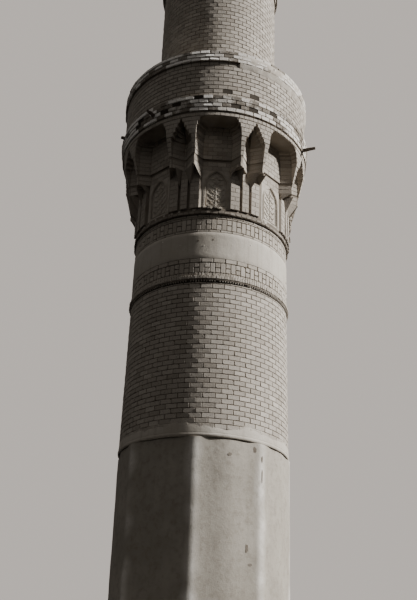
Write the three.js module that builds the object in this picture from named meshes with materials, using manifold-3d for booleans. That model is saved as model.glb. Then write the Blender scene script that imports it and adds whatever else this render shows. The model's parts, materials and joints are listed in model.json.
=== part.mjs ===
// A round brick minaret on an octagonal mud-plastered plinth: plain shaft, two
// patterned brick bands, a two-tier muqarnas cornice, a walled gallery and the
// slimmer upper shaft with its dome. Millimetres, +Z up, the front faces -Y.
import * as THREE from "three";
import { mergeVertices } from "three/addons/utils/BufferGeometryUtils.js";
import Module from "manifold-3d";

// Driving dimensions: the shaft at its foot is 3.4 m across
const SHAFT_FOOT_RADIUS = 1712;
const SHAFT_TOP_RADIUS = 1657;
const SHAFT_WELL_RADIUS = 1130;

// Levels above the ground
const GROUND_FLOOR_Z = 100;
const LEDGE_Z = 6130;
const LOW_MOULDING_Z = 9380;
const PLASTER_BAND_Z = 9880;
const PLASTER_BAND_TOP_Z = 10484;
const UPPER_MOULDING_Z = 10900;
const LOWER_TIER_Z = 11030;
const UPPER_TIER_Z = 11966;
const GALLERY_SOFFIT_Z = 13155;
const GALLERY_FLOOR_Z = 13530;
const COPING_Z = 14465;
const PARAPET_TOP_Z = 14740;
const CORNICE_Z = 18050;
const UPPER_SHAFT_TOP_Z = 18350;
const DOME_HEIGHT = 1500;

// Plinth: an octagon with soft plastered corners, whose sides bow out, most of all at the top
const PLINTH_APOTHEM = 1625;
const PLINTH_WALL = 555;
const PLINTH_CORNER_RADIUS = 260;
const PLINTH_TURN = 18.5;
const PLINTH_BOWS = [[0, 20], [5300, 22], [5750, 38], [LEDGE_Z, 62]];
const ENTRANCE_WIDTH = 800;
const ENTRANCE_HEIGHT = 2050;

// Shaft mouldings
const LEDGE_HEIGHT = 90;
const LEDGE_PROJECTION = 22;
const LOW_MOULDING_HEIGHT = 100;
const LOW_MOULDING_PROJECTION = 38;
const UPPER_MOULDING_PROJECTION = 52;
const PLASTER_THICKNESS = 20;

// Muqarnas: eight wide and eight narrow bays, one pair every 45 degrees
const BAYS = 8;
const BAY_PERIOD = 360 / BAYS;
const BAY_TURN = 4.2;
const CORE_RADIUS = 1600;
const PANEL_RADIUS = 1698;
const PANEL_HALF_ANGLE = 10.3;
const STRIP_RADIUS = 1740;
const GROOVE_RADIUS = 1680;
const ARCH_WIDTH = 440;
const ARCH_SPRING = 560;
const ARCH_RISE = 340;
const ARCH_FOOT = 60;
const ARCH_DEPTH = 45;
const ARCH_STEPS = 6;

// Strips, in degrees from the middle of their group; the group between two bays stands a little left
const SIDE_STRIP = [4.4, 11];
const MIDDLE_STRIP_HALF = 2.5;
const MIDDLE_GROUP_TURN = -1.6;

// Upper tier: its face, and the string course below which the niches are a little deeper
const TIER_FOOT_RADIUS = 1945;
const TIER_FLARE_Z = 12110;
const TIER_BELLY_RADIUS = 2090;
const TIER_BELLY_Z = 12690;
const TIER_TOP_RADIUS = 2098;
const STRING_COURSE_Z = 12220;
const NICHE_TOP_Z = 13040;

// Niches: distance from the axis and half width of the back and of the mouth
const WIDE_BACK = [1700, 305];
const WIDE_MOUTH = [1891, 475];
const WIDE_FOOT_BACK_HALF = 295;
const WIDE_FOOT_MOUTH_HALF = 487;
const WIDE_CORNER = [140, 340];
const NARROW_BACK = [1745, 22];
const NARROW_MOUTH = [1937, 228];
const NARROW_FOOT_BACK = 1728;
const NARROW_FOOT_MOUTH_HALF = 240;
const NARROW_SPRING_Z = 12580;
const NICHE_HEAD_STEPS = 5;

// The bracket left under one pier: its middle and half width in degrees, and its outline of [radius, z]
const BRACKET_TURN = 288.7;
const BRACKET_HALF_ANGLE = 1.6;
const BRACKET_OUTLINE = [
  [1715, 11400],
  [1745, 11400],
  [1807, 11460],
  [1872, 11530],
  [1895, 11620],
  [1914, 11700],
  [1930, 11780],
  [1940, 11966],
  [1715, 11966],
];

// Gallery
const GALLERY_FLOOR_RADIUS = 2000;
const FASCIA_RADIUS = 2115;
const FASCIA_TOP_RADIUS = 2155;
const PARAPET_RADIUS = 2090;
const PARAPET_THICKNESS = 180;
const COPING_RADIUS = 2130;

// Upper shaft, cornice and dome
const UPPER_FOOT_RADIUS = 1390;
const UPPER_TOP_RADIUS = 1376;
const UPPER_WELL_RADIUS = 1000;
const GALLERY_DOOR_WIDTH = 600;
const GALLERY_DOOR_HEIGHT = 1750;
const CORNICE_PROJECTION = 75;
const DOME_THICKNESS = 200;
const DOME_SETBACK = 30;
const DOME_STEPS = 12;
const DOME_INNER_STEPS = 8;

// Pole stubs: facet of the fascia from the front, height above the soffit and length
const POLE_RADIUS = 42;
const POLE_STUBS = {
  east: { facet: 12.5, rise: 60, length: 300 },
  south_west: { facet: -6.5, rise: 150, length: 210 },
  west: { facet: -12.5, rise: 315, length: 90 },
};

const FACETS = 64;
const STEP = 360 / FACETS;
const GAP = 0.3;
const CUT_REACH = 400;
const CUT_BELOW = 50;
const CUT_LAP = 5;
const DOOR_CUT_SIZE = 4000;
const QUARTERS = ["front", "right", "back", "left"];

const manifoldLibrary = await Module();
manifoldLibrary.setup();

const BRICK = { color: 0xb39a7c, roughness: 0.95, metalness: 0 };
const PALE_BRICK = { color: 0xc4b299, roughness: 0.95, metalness: 0 };
const MUD_PLASTER = { color: 0xc2b199, roughness: 0.97, metalness: 0 };
const LIME_PLASTER = { color: 0xcdbfa8, roughness: 0.95, metalness: 0 };
const OLD_WOOD = { color: 0x5b4a3a, roughness: 0.9, metalness: 0 };

const minaret = new THREE.Group();

function addPiece(name, geometry, look) {
  const mesh = new THREE.Mesh(geometry, new THREE.MeshStandardMaterial(look));
  mesh.name = name;
  minaret.add(mesh);
  return mesh;
}

const radians = THREE.MathUtils.degToRad;

// Angles run from the front (-Y) towards the right (+X)
function around(radius, degrees) {
  return [radius * Math.sin(radians(degrees)), -radius * Math.cos(radians(degrees))];
}

// A closed body between rings of points that follow each other; open rows get end caps
function skin(rows, closedRows) {
  const count = rows[0].length;
  const positions = rows.flat(2);
  const faces = [];
  const last = closedRows ? rows.length : rows.length - 1;
  for (let row = 0; row < last; row++) {
    const next = (row + 1) % rows.length;
    for (let k = 0; k < count; k++) {
      const here = row * count + k;
      const beside = row * count + ((k + 1) % count);
      const above = next * count + k;
      const across = next * count + ((k + 1) % count);
      faces.push(here, beside, across, here, across, above);
    }
  }
  const geometry = new THREE.BufferGeometry();
  geometry.setAttribute("position", new THREE.Float32BufferAttribute(positions, 3));
  return { geometry, faces, count };
}

function closeEnds(body, outline, rowCount) {
  const contour = outline.map(([x, y]) => new THREE.Vector2(x, y));
  const offset = (rowCount - 1) * body.count;
  const turn = Math.sign(THREE.ShapeUtils.area(contour));
  for (const face of THREE.ShapeUtils.triangulateShape(contour, [])) {
    if (Math.sign(THREE.ShapeUtils.area(face.map((corner) => contour[corner]))) !== turn) {
      face.reverse();
    }
    const [a, b, c] = face;
    body.faces.push(c, b, a);
    body.faces.push(a + offset, b + offset, c + offset);
  }
}

function facingOut(geometry) {
  const index = geometry.index.array;
  const position = geometry.attributes.position;
  const [a, b, c] = [new THREE.Vector3(), new THREE.Vector3(), new THREE.Vector3()];
  let volume = 0;
  for (let k = 0; k < index.length; k += 3) {
    a.fromBufferAttribute(position, index[k]);
    b.fromBufferAttribute(position, index[k + 1]);
    c.fromBufferAttribute(position, index[k + 2]);
    volume += a.dot(b.cross(c));
  }
  if (volume < 0) {
    for (let k = 0; k < index.length; k += 3) {
      [index[k + 1], index[k + 2]] = [index[k + 2], index[k + 1]];
    }
  }
  return geometry;
}

// Part of a turned ring: an outline of [radius, z] swept from one angle to another
function turned(outline, from, to) {
  const angles = [from];
  for (let angle = Math.ceil((from + 0.01) / STEP) * STEP; angle < to - 0.01; angle += STEP) {
    angles.push(angle);
  }
  angles.push(to);
  const rows = angles.map((angle) => outline.map(([radius, z]) => [...around(radius, angle), z]));
  const body = skin(rows, false);
  closeEnds(body, outline, rows.length);
  body.geometry.setIndex(body.faces);
  return facingOut(body.geometry);
}

// A whole turned ring
function ring(outline) {
  const rows = [];
  for (let k = 0; k < FACETS; k++) {
    rows.push(outline.map(([radius, z]) => [...around(radius, k * STEP), z]));
  }
  const body = skin(rows, true);
  body.geometry.setIndex(body.faces);
  return facingOut(body.geometry);
}

// An upright block through plans of [x, y], each at its own level
function lofted(levels) {
  const rows = levels.map(([plan, z]) => plan.map(([x, y]) => [x, y, z]));
  const body = skin(rows, false);
  closeEnds(body, levels[0][0], rows.length);
  body.geometry.setIndex(body.faces);
  return facingOut(body.geometry);
}

function upright(plan, low, high) {
  return lofted([[plan, low], [plan, high]]);
}

// A block through upright outlines of [across, z], each at its own distance from the axis
function between(sections, degrees) {
  const rows = sections.map(([outline, distance]) => outline.map(([across, z]) => {
    const [outX, outY] = around(distance, degrees);
    const [sideX, sideY] = around(across, degrees + 90);
    return [outX + sideX, outY + sideY, z];
  }));
  const body = skin(rows, false);
  closeEnds(body, sections[0][0], rows.length);
  body.geometry.setIndex(body.faces);
  return facingOut(body.geometry);
}

function solid(geometry) {
  const bare = geometry.clone();
  bare.deleteAttribute("normal");
  bare.deleteAttribute("uv");
  const merged = mergeVertices(bare, 1e-3);
  const mesh = new manifoldLibrary.Mesh({
    numProp: 3,
    vertProperties: new Float32Array(merged.attributes.position.array),
    triVerts: new Uint32Array(merged.index.array),
  });
  return new manifoldLibrary.Manifold(mesh);
}

function fromSolid(body) {
  const mesh = body.getMesh();
  const geometry = new THREE.BufferGeometry();
  geometry.setAttribute("position", new THREE.BufferAttribute(mesh.vertProperties, 3));
  geometry.setIndex(new THREE.BufferAttribute(mesh.triVerts, 1));
  return geometry;
}

function cut(geometry, cutters) {
  let body = solid(geometry);
  for (const cutter of cutters) {
    body = body.subtract(solid(cutter));
  }
  return fromSolid(body);
}

function join(geometry, other) {
  return fromSolid(solid(geometry).add(solid(other)));
}

// Quarter walls meet on the diagonals with a narrow joint
function quarter(outline, index, radius) {
  const joint = THREE.MathUtils.radToDeg(GAP / 2 / radius);
  return turned(outline, index * 90 - 45 + joint, index * 90 + 45 - joint);
}

// Plinth
const cornerShare = Math.tan(radians(22.5));
const plinthCornerStart = (PLINTH_APOTHEM - PLINTH_CORNER_RADIUS) * cornerShare;
const plinthInner = PLINTH_APOTHEM - PLINTH_WALL;

function turnPlan(plan, degrees) {
  return plan.map(([across, distance]) => {
    const [outX, outY] = around(distance, degrees);
    const [sideX, sideY] = around(across, degrees + 90);
    return [outX + sideX, outY + sideY];
  });
}

// How far a side bows out at its middle, at one level
function plinthBow(z) {
  const above = PLINTH_BOWS.findIndex(([level]) => level >= z);
  const [highZ, highBow] = PLINTH_BOWS[Math.max(above, 1)];
  const [lowZ, lowBow] = PLINTH_BOWS[Math.max(above, 1) - 1];
  return THREE.MathUtils.lerp(lowBow, highBow, (z - lowZ) / (highZ - lowZ));
}

// Half of one side, from its middle or a door edge to the rounded corner
function plinthEdge(side, bow, from) {
  const points = [];
  for (const part of [0, 0.33, 0.67]) {
    const across = THREE.MathUtils.lerp(from, plinthCornerStart, part);
    const share = Math.cos(radians(90) * across / plinthCornerStart) ** 2;
    points.push([side * across, PLINTH_APOTHEM + bow * share]);
  }
  for (const part of [0, 0.25, 0.5, 0.75, 1]) {
    const turn = radians(22.5 * part);
    const across = plinthCornerStart + PLINTH_CORNER_RADIUS * Math.sin(turn);
    const distance = PLINTH_APOTHEM - PLINTH_CORNER_RADIUS * (1 - Math.cos(turn));
    points.push([side * across, distance]);
  }
  return points;
}

function shrinkJoint(plan) {
  // Keeps the mitred joint between neighbouring sides open
  return plan.map(([across, distance]) => {
    const limit = distance * cornerShare - GAP;
    return [THREE.MathUtils.clamp(across, -limit, limit), distance];
  });
}

function plinthSide(bow) {
  const right = plinthEdge(1, bow, 0);
  const left = plinthEdge(-1, bow, 0).slice(1).reverse();
  const inner = plinthInner * cornerShare;
  return shrinkJoint([...left, ...right, [inner, plinthInner], [-inner, plinthInner]]);
}

function plinthJamb(side, bow) {
  const inner = plinthInner * cornerShare;
  const half = ENTRANCE_WIDTH / 2;
  const plan = [...plinthEdge(side, bow, half), [side * inner, plinthInner], [side * half, plinthInner]];
  return shrinkJoint(plan);
}

// A plan taken up the plinth from one level to another, with the bow of each level
function plinthWall(planAt, angle, low, high) {
  const levels = [low, ...PLINTH_BOWS.map(([z]) => z).filter((z) => z > low && z < high), high];
  return lofted(levels.map((z) => [turnPlan(planAt(plinthBow(z)), angle), z]));
}

const plinthNames = [
  "front", "front_right", "right", "back_right", "back", "back_left", "left", "front_left",
];
plinthNames.forEach((name, index) => {
  const angle = PLINTH_TURN + index * 45;
  if (name !== "back") {
    addPiece(`plinth_wall_${name}`, plinthWall(plinthSide, angle, 0, LEDGE_Z), MUD_PLASTER);
    return;
  }
  for (const [jamb, side] of [["entrance_jamb_east", -1], ["entrance_jamb_west", 1]]) {
    const plan = (bow) => plinthJamb(side, bow);
    addPiece(jamb, plinthWall(plan, angle, 0, ENTRANCE_HEIGHT), MUD_PLASTER);
  }
  const over = plinthWall(plinthSide, angle, ENTRANCE_HEIGHT, LEDGE_Z);
  addPiece("plinth_wall_over_entrance", over, MUD_PLASTER);
});

const floorPlan = plinthNames.map((name, index) => {
  const corner = (plinthInner - GAP) / Math.cos(radians(22.5));
  return around(corner, PLINTH_TURN + 22.5 + index * 45);
});
addPiece("ground_floor", upright(floorPlan, 0, GROUND_FLOOR_Z), BRICK);

// Shaft walls, with the slimmer core that carries the muqarnas
const shaftOutline = [
  [SHAFT_WELL_RADIUS, LEDGE_Z],
  [SHAFT_FOOT_RADIUS, LEDGE_Z],
  [SHAFT_TOP_RADIUS, UPPER_MOULDING_Z],
  [SHAFT_TOP_RADIUS, LOWER_TIER_Z],
  [CORE_RADIUS, LOWER_TIER_Z],
  [CORE_RADIUS, GALLERY_SOFFIT_Z],
  [SHAFT_WELL_RADIUS, GALLERY_SOFFIT_Z],
];
QUARTERS.forEach((name, index) => {
  addPiece(`shaft_wall_${name}`, quarter(shaftOutline, index, SHAFT_WELL_RADIUS), BRICK);
});

function shaftRadius(z) {
  const share = (z - LEDGE_Z) / (UPPER_MOULDING_Z - LEDGE_Z);
  return THREE.MathUtils.lerp(SHAFT_FOOT_RADIUS, SHAFT_TOP_RADIUS, Math.min(share, 1));
}

// A belt that lies on the shaft's face
function belt(low, high, projection) {
  const clear = GAP / Math.cos(radians(STEP / 2));
  return ring([
    [shaftRadius(low) + clear, low],
    [shaftRadius(low) + projection, low],
    [shaftRadius(high) + projection, high],
    [shaftRadius(high) + clear, high],
  ]);
}

addPiece("shaft_foot_ledge", belt(LEDGE_Z, LEDGE_Z + LEDGE_HEIGHT, LEDGE_PROJECTION), LIME_PLASTER);
const lowMouldingTop = LOW_MOULDING_Z + LOW_MOULDING_HEIGHT;
addPiece("lower_moulding", belt(LOW_MOULDING_Z, lowMouldingTop, LOW_MOULDING_PROJECTION), BRICK);
addPiece("plaster_band", belt(PLASTER_BAND_Z, PLASTER_BAND_TOP_Z, PLASTER_THICKNESS), LIME_PLASTER);
addPiece("upper_moulding", belt(UPPER_MOULDING_Z, LOWER_TIER_Z, UPPER_MOULDING_PROJECTION), BRICK);

// Lower muqarnas tier: arched panels between groups of three upright strips
function arcPoints(radius, from, to, steps) {
  const points = [];
  for (let k = 0; k <= steps; k++) {
    points.push(around(radius, THREE.MathUtils.lerp(from, to, k / steps)));
  }
  return points;
}

function strip(center, from, to) {
  return [around(GROOVE_RADIUS, center + from), around(STRIP_RADIUS, center + from),
    around(STRIP_RADIUS, center + to), around(GROOVE_RADIUS, center + to)];
}

function panel(center) {
  return [around(PANEL_RADIUS, center - PANEL_HALF_ANGLE), around(PANEL_RADIUS, center + PANEL_HALF_ANGLE)];
}

// From the middle of one group of strips over two bays to the middle of the next but one
function lowerTierPlan(first) {
  const joint = THREE.MathUtils.radToDeg(GAP / 2 / CORE_RADIUS);
  const [near, far] = SIDE_STRIP;
  const firstGroup = first - BAY_PERIOD / 2;
  const middleGroup = first + BAY_PERIOD / 2 + MIDDLE_GROUP_TURN;
  const lastGroup = first + 1.5 * BAY_PERIOD;
  const outer = [
    around(STRIP_RADIUS, firstGroup + joint),
    around(STRIP_RADIUS, firstGroup + MIDDLE_STRIP_HALF),
    around(GROOVE_RADIUS, firstGroup + MIDDLE_STRIP_HALF),
    ...strip(firstGroup, near, far).slice(0, 3),
    ...panel(first),
    ...strip(middleGroup, -far, -near).slice(1),
    ...strip(middleGroup, -MIDDLE_STRIP_HALF, MIDDLE_STRIP_HALF),
    ...strip(middleGroup, near, far),
    ...panel(first + BAY_PERIOD),
    ...strip(lastGroup, -far, -near).slice(1),
    around(GROOVE_RADIUS, lastGroup - MIDDLE_STRIP_HALF),
    around(STRIP_RADIUS, lastGroup - MIDDLE_STRIP_HALF),
    around(STRIP_RADIUS, lastGroup - joint),
  ];
  const innerRadius = CORE_RADIUS / Math.cos(radians(STEP / 2)) + GAP;
  return [...outer, ...arcPoints(innerRadius, lastGroup - joint, firstGroup + joint, 16)];
}

// Outline of a pointed arch, from its foot upwards
function pointedArch(halfWidth, foot, spring, apex, steps) {
  const rise = apex - spring;
  const radius = (rise * rise + halfWidth * halfWidth) / (2 * halfWidth);
  const sweep = Math.asin(rise / radius);
  const right = [];
  for (let k = 0; k < steps; k++) {
    const turn = sweep * k / steps;
    right.push([halfWidth - radius + radius * Math.cos(turn), spring + radius * Math.sin(turn)]);
  }
  const left = right.map(([across, z]) => [-across, z]).reverse();
  return [[-halfWidth, foot], [halfWidth, foot], ...right, [0, apex], ...left];
}

const panelFace = PANEL_RADIUS * Math.cos(radians(PANEL_HALF_ANGLE));

function panelArchCutter(degrees) {
  const foot = LOWER_TIER_Z + ARCH_FOOT;
  const spring = LOWER_TIER_Z + ARCH_SPRING;
  const outline = pointedArch(ARCH_WIDTH / 2, foot, spring, spring + ARCH_RISE, ARCH_STEPS);
  return between([[outline, panelFace - ARCH_DEPTH], [outline, panelFace + CUT_REACH]], degrees);
}

// Upper muqarnas tier: deep wide niches and narrow keel-headed ones between sharp piers
function wideNicheOutline(halfWidth) {
  const [cornerAcross, cornerRise] = WIDE_CORNER;
  const spring = NICHE_TOP_Z - cornerRise;
  const right = [];
  for (let k = 0; k <= NICHE_HEAD_STEPS; k++) {
    const turn = radians(90 * k / NICHE_HEAD_STEPS);
    const across = halfWidth - cornerAcross * (1 - Math.cos(turn));
    right.push([across, spring + cornerRise * Math.sin(turn)]);
  }
  const left = right.map(([across, z]) => [-across, z]).reverse();
  const foot = STRING_COURSE_Z - CUT_LAP;
  return [[-halfWidth, foot], [halfWidth, foot], ...right, ...left];
}

function narrowNicheOutline(halfWidth) {
  const foot = STRING_COURSE_Z - CUT_LAP;
  return [[-halfWidth, foot], [halfWidth, foot],
    [halfWidth, NARROW_SPRING_Z], [0, NICHE_TOP_Z], [-halfWidth, NARROW_SPRING_Z]];
}

function nicheFootOutline(halfWidth) {
  const foot = UPPER_TIER_Z - CUT_BELOW;
  return [[-halfWidth, foot], [halfWidth, foot], [halfWidth, STRING_COURSE_Z], [-halfWidth, STRING_COURSE_Z]];
}

// Flanks splay from the back to the mouth and run on parallel from there
function nicheCutter(outline, [back, backHalf], [mouth, mouthHalf], degrees) {
  return between([
    [outline(backHalf), back],
    [outline(mouthHalf), mouth],
    [outline(mouthHalf), mouth + CUT_REACH],
  ], degrees);
}

function wideNicheCutters(degrees) {
  const footBack = [panelFace, WIDE_FOOT_BACK_HALF];
  const footMouth = [WIDE_MOUTH[0], WIDE_FOOT_MOUTH_HALF];
  return [
    nicheCutter(wideNicheOutline, WIDE_BACK, WIDE_MOUTH, degrees),
    nicheCutter(nicheFootOutline, footBack, footMouth, degrees),
  ];
}

function narrowNicheCutters(degrees) {
  const footBack = [NARROW_FOOT_BACK, NARROW_BACK[1]];
  const footMouth = [NARROW_MOUTH[0], NARROW_FOOT_MOUTH_HALF];
  return [
    nicheCutter(narrowNicheOutline, NARROW_BACK, NARROW_MOUTH, degrees),
    nicheCutter(nicheFootOutline, footBack, footMouth, degrees),
  ];
}

const tierOutline = [
  [CORE_RADIUS / Math.cos(radians(STEP / 2)) + GAP, UPPER_TIER_Z],
  [TIER_FOOT_RADIUS, UPPER_TIER_Z],
  [TIER_FOOT_RADIUS, TIER_FLARE_Z],
  [TIER_BELLY_RADIUS, TIER_BELLY_Z],
  [TIER_TOP_RADIUS, GALLERY_SOFFIT_Z],
  [CORE_RADIUS / Math.cos(radians(STEP / 2)) + GAP, GALLERY_SOFFIT_Z],
];

const bracket = turned(BRACKET_OUTLINE, BRACKET_TURN - BRACKET_HALF_ANGLE, BRACKET_TURN + BRACKET_HALF_ANGLE);

QUARTERS.forEach((name, index) => {
  const first = BAY_TURN + index * 90;
  const centers = [first, first + BAY_PERIOD];
  const tierBody = upright(lowerTierPlan(first), LOWER_TIER_Z, UPPER_TIER_Z);
  const lower = cut(tierBody, centers.map(panelArchCutter));
  addPiece(`lower_muqarnas_${name}`, name === "left" ? join(lower, bracket) : lower, BRICK);
  const joint = THREE.MathUtils.radToDeg(GAP / 2 / CORE_RADIUS);
  const start = first - BAY_PERIOD / 2 + joint;
  const end = first + 1.5 * BAY_PERIOD - joint;
  const niches = centers.flatMap(wideNicheCutters);
  for (const turn of [-0.5, 0.5, 1.5]) {
    niches.push(...narrowNicheCutters(first + turn * BAY_PERIOD));
  }
  addPiece(`upper_muqarnas_${name}`, cut(turned(tierOutline, start, end), niches), BRICK);
});

// Gallery: floor, brick fascia round its edge, parapet and coping
const floorDisc = [];
for (let k = 0; k < FACETS; k++) {
  floorDisc.push(around(GALLERY_FLOOR_RADIUS, k * STEP));
}
addPiece("gallery_floor", upright(floorDisc, GALLERY_SOFFIT_Z, GALLERY_FLOOR_Z), BRICK);
addPiece("gallery_fascia", ring([
  [GALLERY_FLOOR_RADIUS + 2 * GAP, GALLERY_SOFFIT_Z],
  [FASCIA_RADIUS, GALLERY_SOFFIT_Z],
  [FASCIA_TOP_RADIUS, GALLERY_FLOOR_Z],
  [GALLERY_FLOOR_RADIUS + 2 * GAP, GALLERY_FLOOR_Z],
]), PALE_BRICK);

const parapetInner = PARAPET_RADIUS - PARAPET_THICKNESS;
const parapetOutline = [
  [parapetInner, GALLERY_FLOOR_Z],
  [PARAPET_RADIUS, GALLERY_FLOOR_Z],
  [PARAPET_RADIUS, PARAPET_TOP_Z],
  [parapetInner, PARAPET_TOP_Z],
];
QUARTERS.forEach((name, index) => {
  addPiece(`parapet_${name}`, quarter(parapetOutline, index, parapetInner), BRICK);
});
addPiece("parapet_coping", ring([
  [PARAPET_RADIUS + 2 * GAP, COPING_Z],
  [COPING_RADIUS, COPING_Z],
  [COPING_RADIUS, PARAPET_TOP_Z],
  [PARAPET_RADIUS + 2 * GAP, PARAPET_TOP_Z],
]), PALE_BRICK);

// Upper shaft, with a doorway to the gallery at the back
const doorHeadZ = GALLERY_FLOOR_Z + GALLERY_DOOR_HEIGHT;

function upperRadius(z) {
  const share = (z - GALLERY_FLOOR_Z) / (UPPER_SHAFT_TOP_Z - GALLERY_FLOOR_Z);
  return THREE.MathUtils.lerp(UPPER_FOOT_RADIUS, UPPER_TOP_RADIUS, share);
}

function upperOutline(low, high) {
  return [
    [UPPER_WELL_RADIUS, low],
    [upperRadius(low), low],
    [upperRadius(high), high],
    [UPPER_WELL_RADIUS, high],
  ];
}

QUARTERS.forEach((name, index) => {
  if (name !== "back") {
    const wall = quarter(upperOutline(GALLERY_FLOOR_Z, UPPER_SHAFT_TOP_Z), index, UPPER_WELL_RADIUS);
    addPiece(`upper_shaft_${name}`, wall, BRICK);
    return;
  }
  const over = quarter(upperOutline(doorHeadZ, UPPER_SHAFT_TOP_Z), index, UPPER_WELL_RADIUS);
  addPiece("upper_shaft_over_door", over, BRICK);
  const wall = quarter(upperOutline(GALLERY_FLOOR_Z, doorHeadZ), index, UPPER_WELL_RADIUS);
  for (const [jamb, side] of [["gallery_door_jamb_east", 1], ["gallery_door_jamb_west", -1]]) {
    // Takes away the doorway and all of the wall beyond it
    const passage = new THREE.BoxGeometry(DOOR_CUT_SIZE, DOOR_CUT_SIZE, DOOR_CUT_SIZE);
    passage.translate(-side * (DOOR_CUT_SIZE - GALLERY_DOOR_WIDTH) / 2, 0, GALLERY_FLOOR_Z);
    addPiece(jamb, cut(wall, [passage]), BRICK);
  }
});

// Cornice of two projecting courses
const cornerClear = GAP / Math.cos(radians(STEP / 2));
const corniceMiddleZ = (CORNICE_Z + UPPER_SHAFT_TOP_Z) / 2;
addPiece("top_cornice", ring([
  [upperRadius(CORNICE_Z) + cornerClear, CORNICE_Z],
  [upperRadius(CORNICE_Z) + CORNICE_PROJECTION / 2, CORNICE_Z],
  [upperRadius(corniceMiddleZ) + CORNICE_PROJECTION / 2, corniceMiddleZ],
  [upperRadius(corniceMiddleZ) + CORNICE_PROJECTION, corniceMiddleZ],
  [upperRadius(corniceMiddleZ) + CORNICE_PROJECTION, UPPER_SHAFT_TOP_Z],
  [upperRadius(UPPER_SHAFT_TOP_Z) + cornerClear, UPPER_SHAFT_TOP_Z],
]), BRICK);

// Dome: a shell on the upper shaft's head
function domeCurve(radius, height, steps) {
  const points = [];
  for (let k = 0; k <= steps; k++) {
    const turn = radians(90 * k / steps);
    points.push(new THREE.Vector2(radius * Math.cos(turn), UPPER_SHAFT_TOP_Z + height * Math.sin(turn)));
  }
  points[steps].x = 0;
  return points;
}

function domeShell() {
  const foot = UPPER_TOP_RADIUS - DOME_SETBACK;
  const outside = domeCurve(foot, DOME_HEIGHT, DOME_STEPS);
  const inside = domeCurve(foot - DOME_THICKNESS, DOME_HEIGHT - DOME_THICKNESS, DOME_INNER_STEPS);
  const shell = new THREE.LatheGeometry([...inside.reverse(), ...outside], FACETS / 2);
  shell.rotateX(Math.PI / 2);
  shell.deleteAttribute("normal");
  shell.deleteAttribute("uv");
  return facingOut(mergeVertices(shell, 1e-3));
}
addPiece("dome", domeShell(), LIME_PLASTER);

// Pole stubs that stick out of the gallery's foot
function poleStub({ facet, rise, length }) {
  const pole = new THREE.CylinderGeometry(POLE_RADIUS, POLE_RADIUS, length, 12);
  const fasciaHeight = GALLERY_FLOOR_Z - GALLERY_SOFFIT_Z;
  const fasciaFlare = (FASCIA_TOP_RADIUS - FASCIA_RADIUS) * Math.cos(radians(STEP / 2));
  const facetSlope = Math.atan(fasciaFlare / fasciaHeight);
  const seat = THREE.MathUtils.lerp(FASCIA_RADIUS, FASCIA_TOP_RADIUS, rise / fasciaHeight);
  pole.translate(0, -length / 2 - GAP, 0);
  pole.rotateX(facetSlope);
  pole.translate(0, -seat * Math.cos(radians(STEP / 2)), GALLERY_SOFFIT_Z + rise);
  pole.rotateZ(radians(facet * STEP));
  return pole;
}
for (const [side, stub] of Object.entries(POLE_STUBS)) {
  addPiece(`pole_stub_${side}`, poleStub(stub), OLD_WOOD);
}

export default minaret;
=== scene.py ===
"""Looks for the brick minaret: laid bricks, patterned bands, carved panels, plaster
and old wood over the fixed CAD frame. Metres, +Z up. Angles are in degrees and run
from the front (-Y) towards the right (+X)."""

import json
import math
import random
import bmesh
import bpy
from mathutils import Matrix, Vector, noise

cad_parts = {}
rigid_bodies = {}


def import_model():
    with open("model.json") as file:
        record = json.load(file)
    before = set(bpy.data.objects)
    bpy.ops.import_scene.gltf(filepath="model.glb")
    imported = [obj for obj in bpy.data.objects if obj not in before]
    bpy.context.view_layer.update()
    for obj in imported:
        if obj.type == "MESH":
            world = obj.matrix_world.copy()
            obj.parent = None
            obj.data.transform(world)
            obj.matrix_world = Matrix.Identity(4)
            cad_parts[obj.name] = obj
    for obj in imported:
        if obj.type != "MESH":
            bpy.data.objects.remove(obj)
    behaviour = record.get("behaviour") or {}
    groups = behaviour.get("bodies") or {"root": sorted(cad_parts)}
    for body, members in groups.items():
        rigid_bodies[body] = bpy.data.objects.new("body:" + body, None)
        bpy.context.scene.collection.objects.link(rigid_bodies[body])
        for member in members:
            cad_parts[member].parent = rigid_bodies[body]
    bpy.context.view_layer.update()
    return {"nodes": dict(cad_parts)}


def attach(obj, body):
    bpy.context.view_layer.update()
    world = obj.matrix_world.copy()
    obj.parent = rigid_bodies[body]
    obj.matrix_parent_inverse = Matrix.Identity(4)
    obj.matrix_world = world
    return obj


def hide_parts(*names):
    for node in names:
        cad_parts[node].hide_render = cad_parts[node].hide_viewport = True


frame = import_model()

# Levels above the ground
LEDGE_Z = 6.130
LOW_CELLS_Z = 9.556
LOW_CELLS_TOP_Z = 9.782
PLASTER_BAND_Z = 9.880
PLASTER_BAND_TOP_Z = 10.484
HIGH_CELLS_Z = 10.543
HIGH_CELLS_TOP_Z = 10.802
WORN_COURSE_Z = 10.840
UPPER_MOULDING_Z = 10.900
LOWER_TIER_Z = 11.030
UPPER_TIER_Z = 11.966
STRING_COURSE_Z = 12.220
NICHE_TOP_Z = 13.040
GALLERY_SOFFIT_Z = 13.155
GALLERY_FLOOR_Z = 13.530
COPING_Z = 14.465
PARAPET_TOP_Z = 14.740
CORNICE_Z = 18.050
CORNICE_STEP_Z = 18.200
UPPER_SHAFT_TOP_Z = 18.350

# Radii
SHAFT_FOOT_RADIUS = 1.712
SHAFT_TOP_RADIUS = 1.657
PANEL_RADIUS = 1.698
STRIP_RADIUS = 1.740
FASCIA_RADIUS = 2.115
FASCIA_TOP_RADIUS = 2.155
PARAPET_RADIUS = 2.090
PARAPET_INNER_RADIUS = 1.910
COPING_RADIUS = 2.130
UPPER_FOOT_RADIUS = 1.390
UPPER_TOP_RADIUS = 1.376

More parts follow.
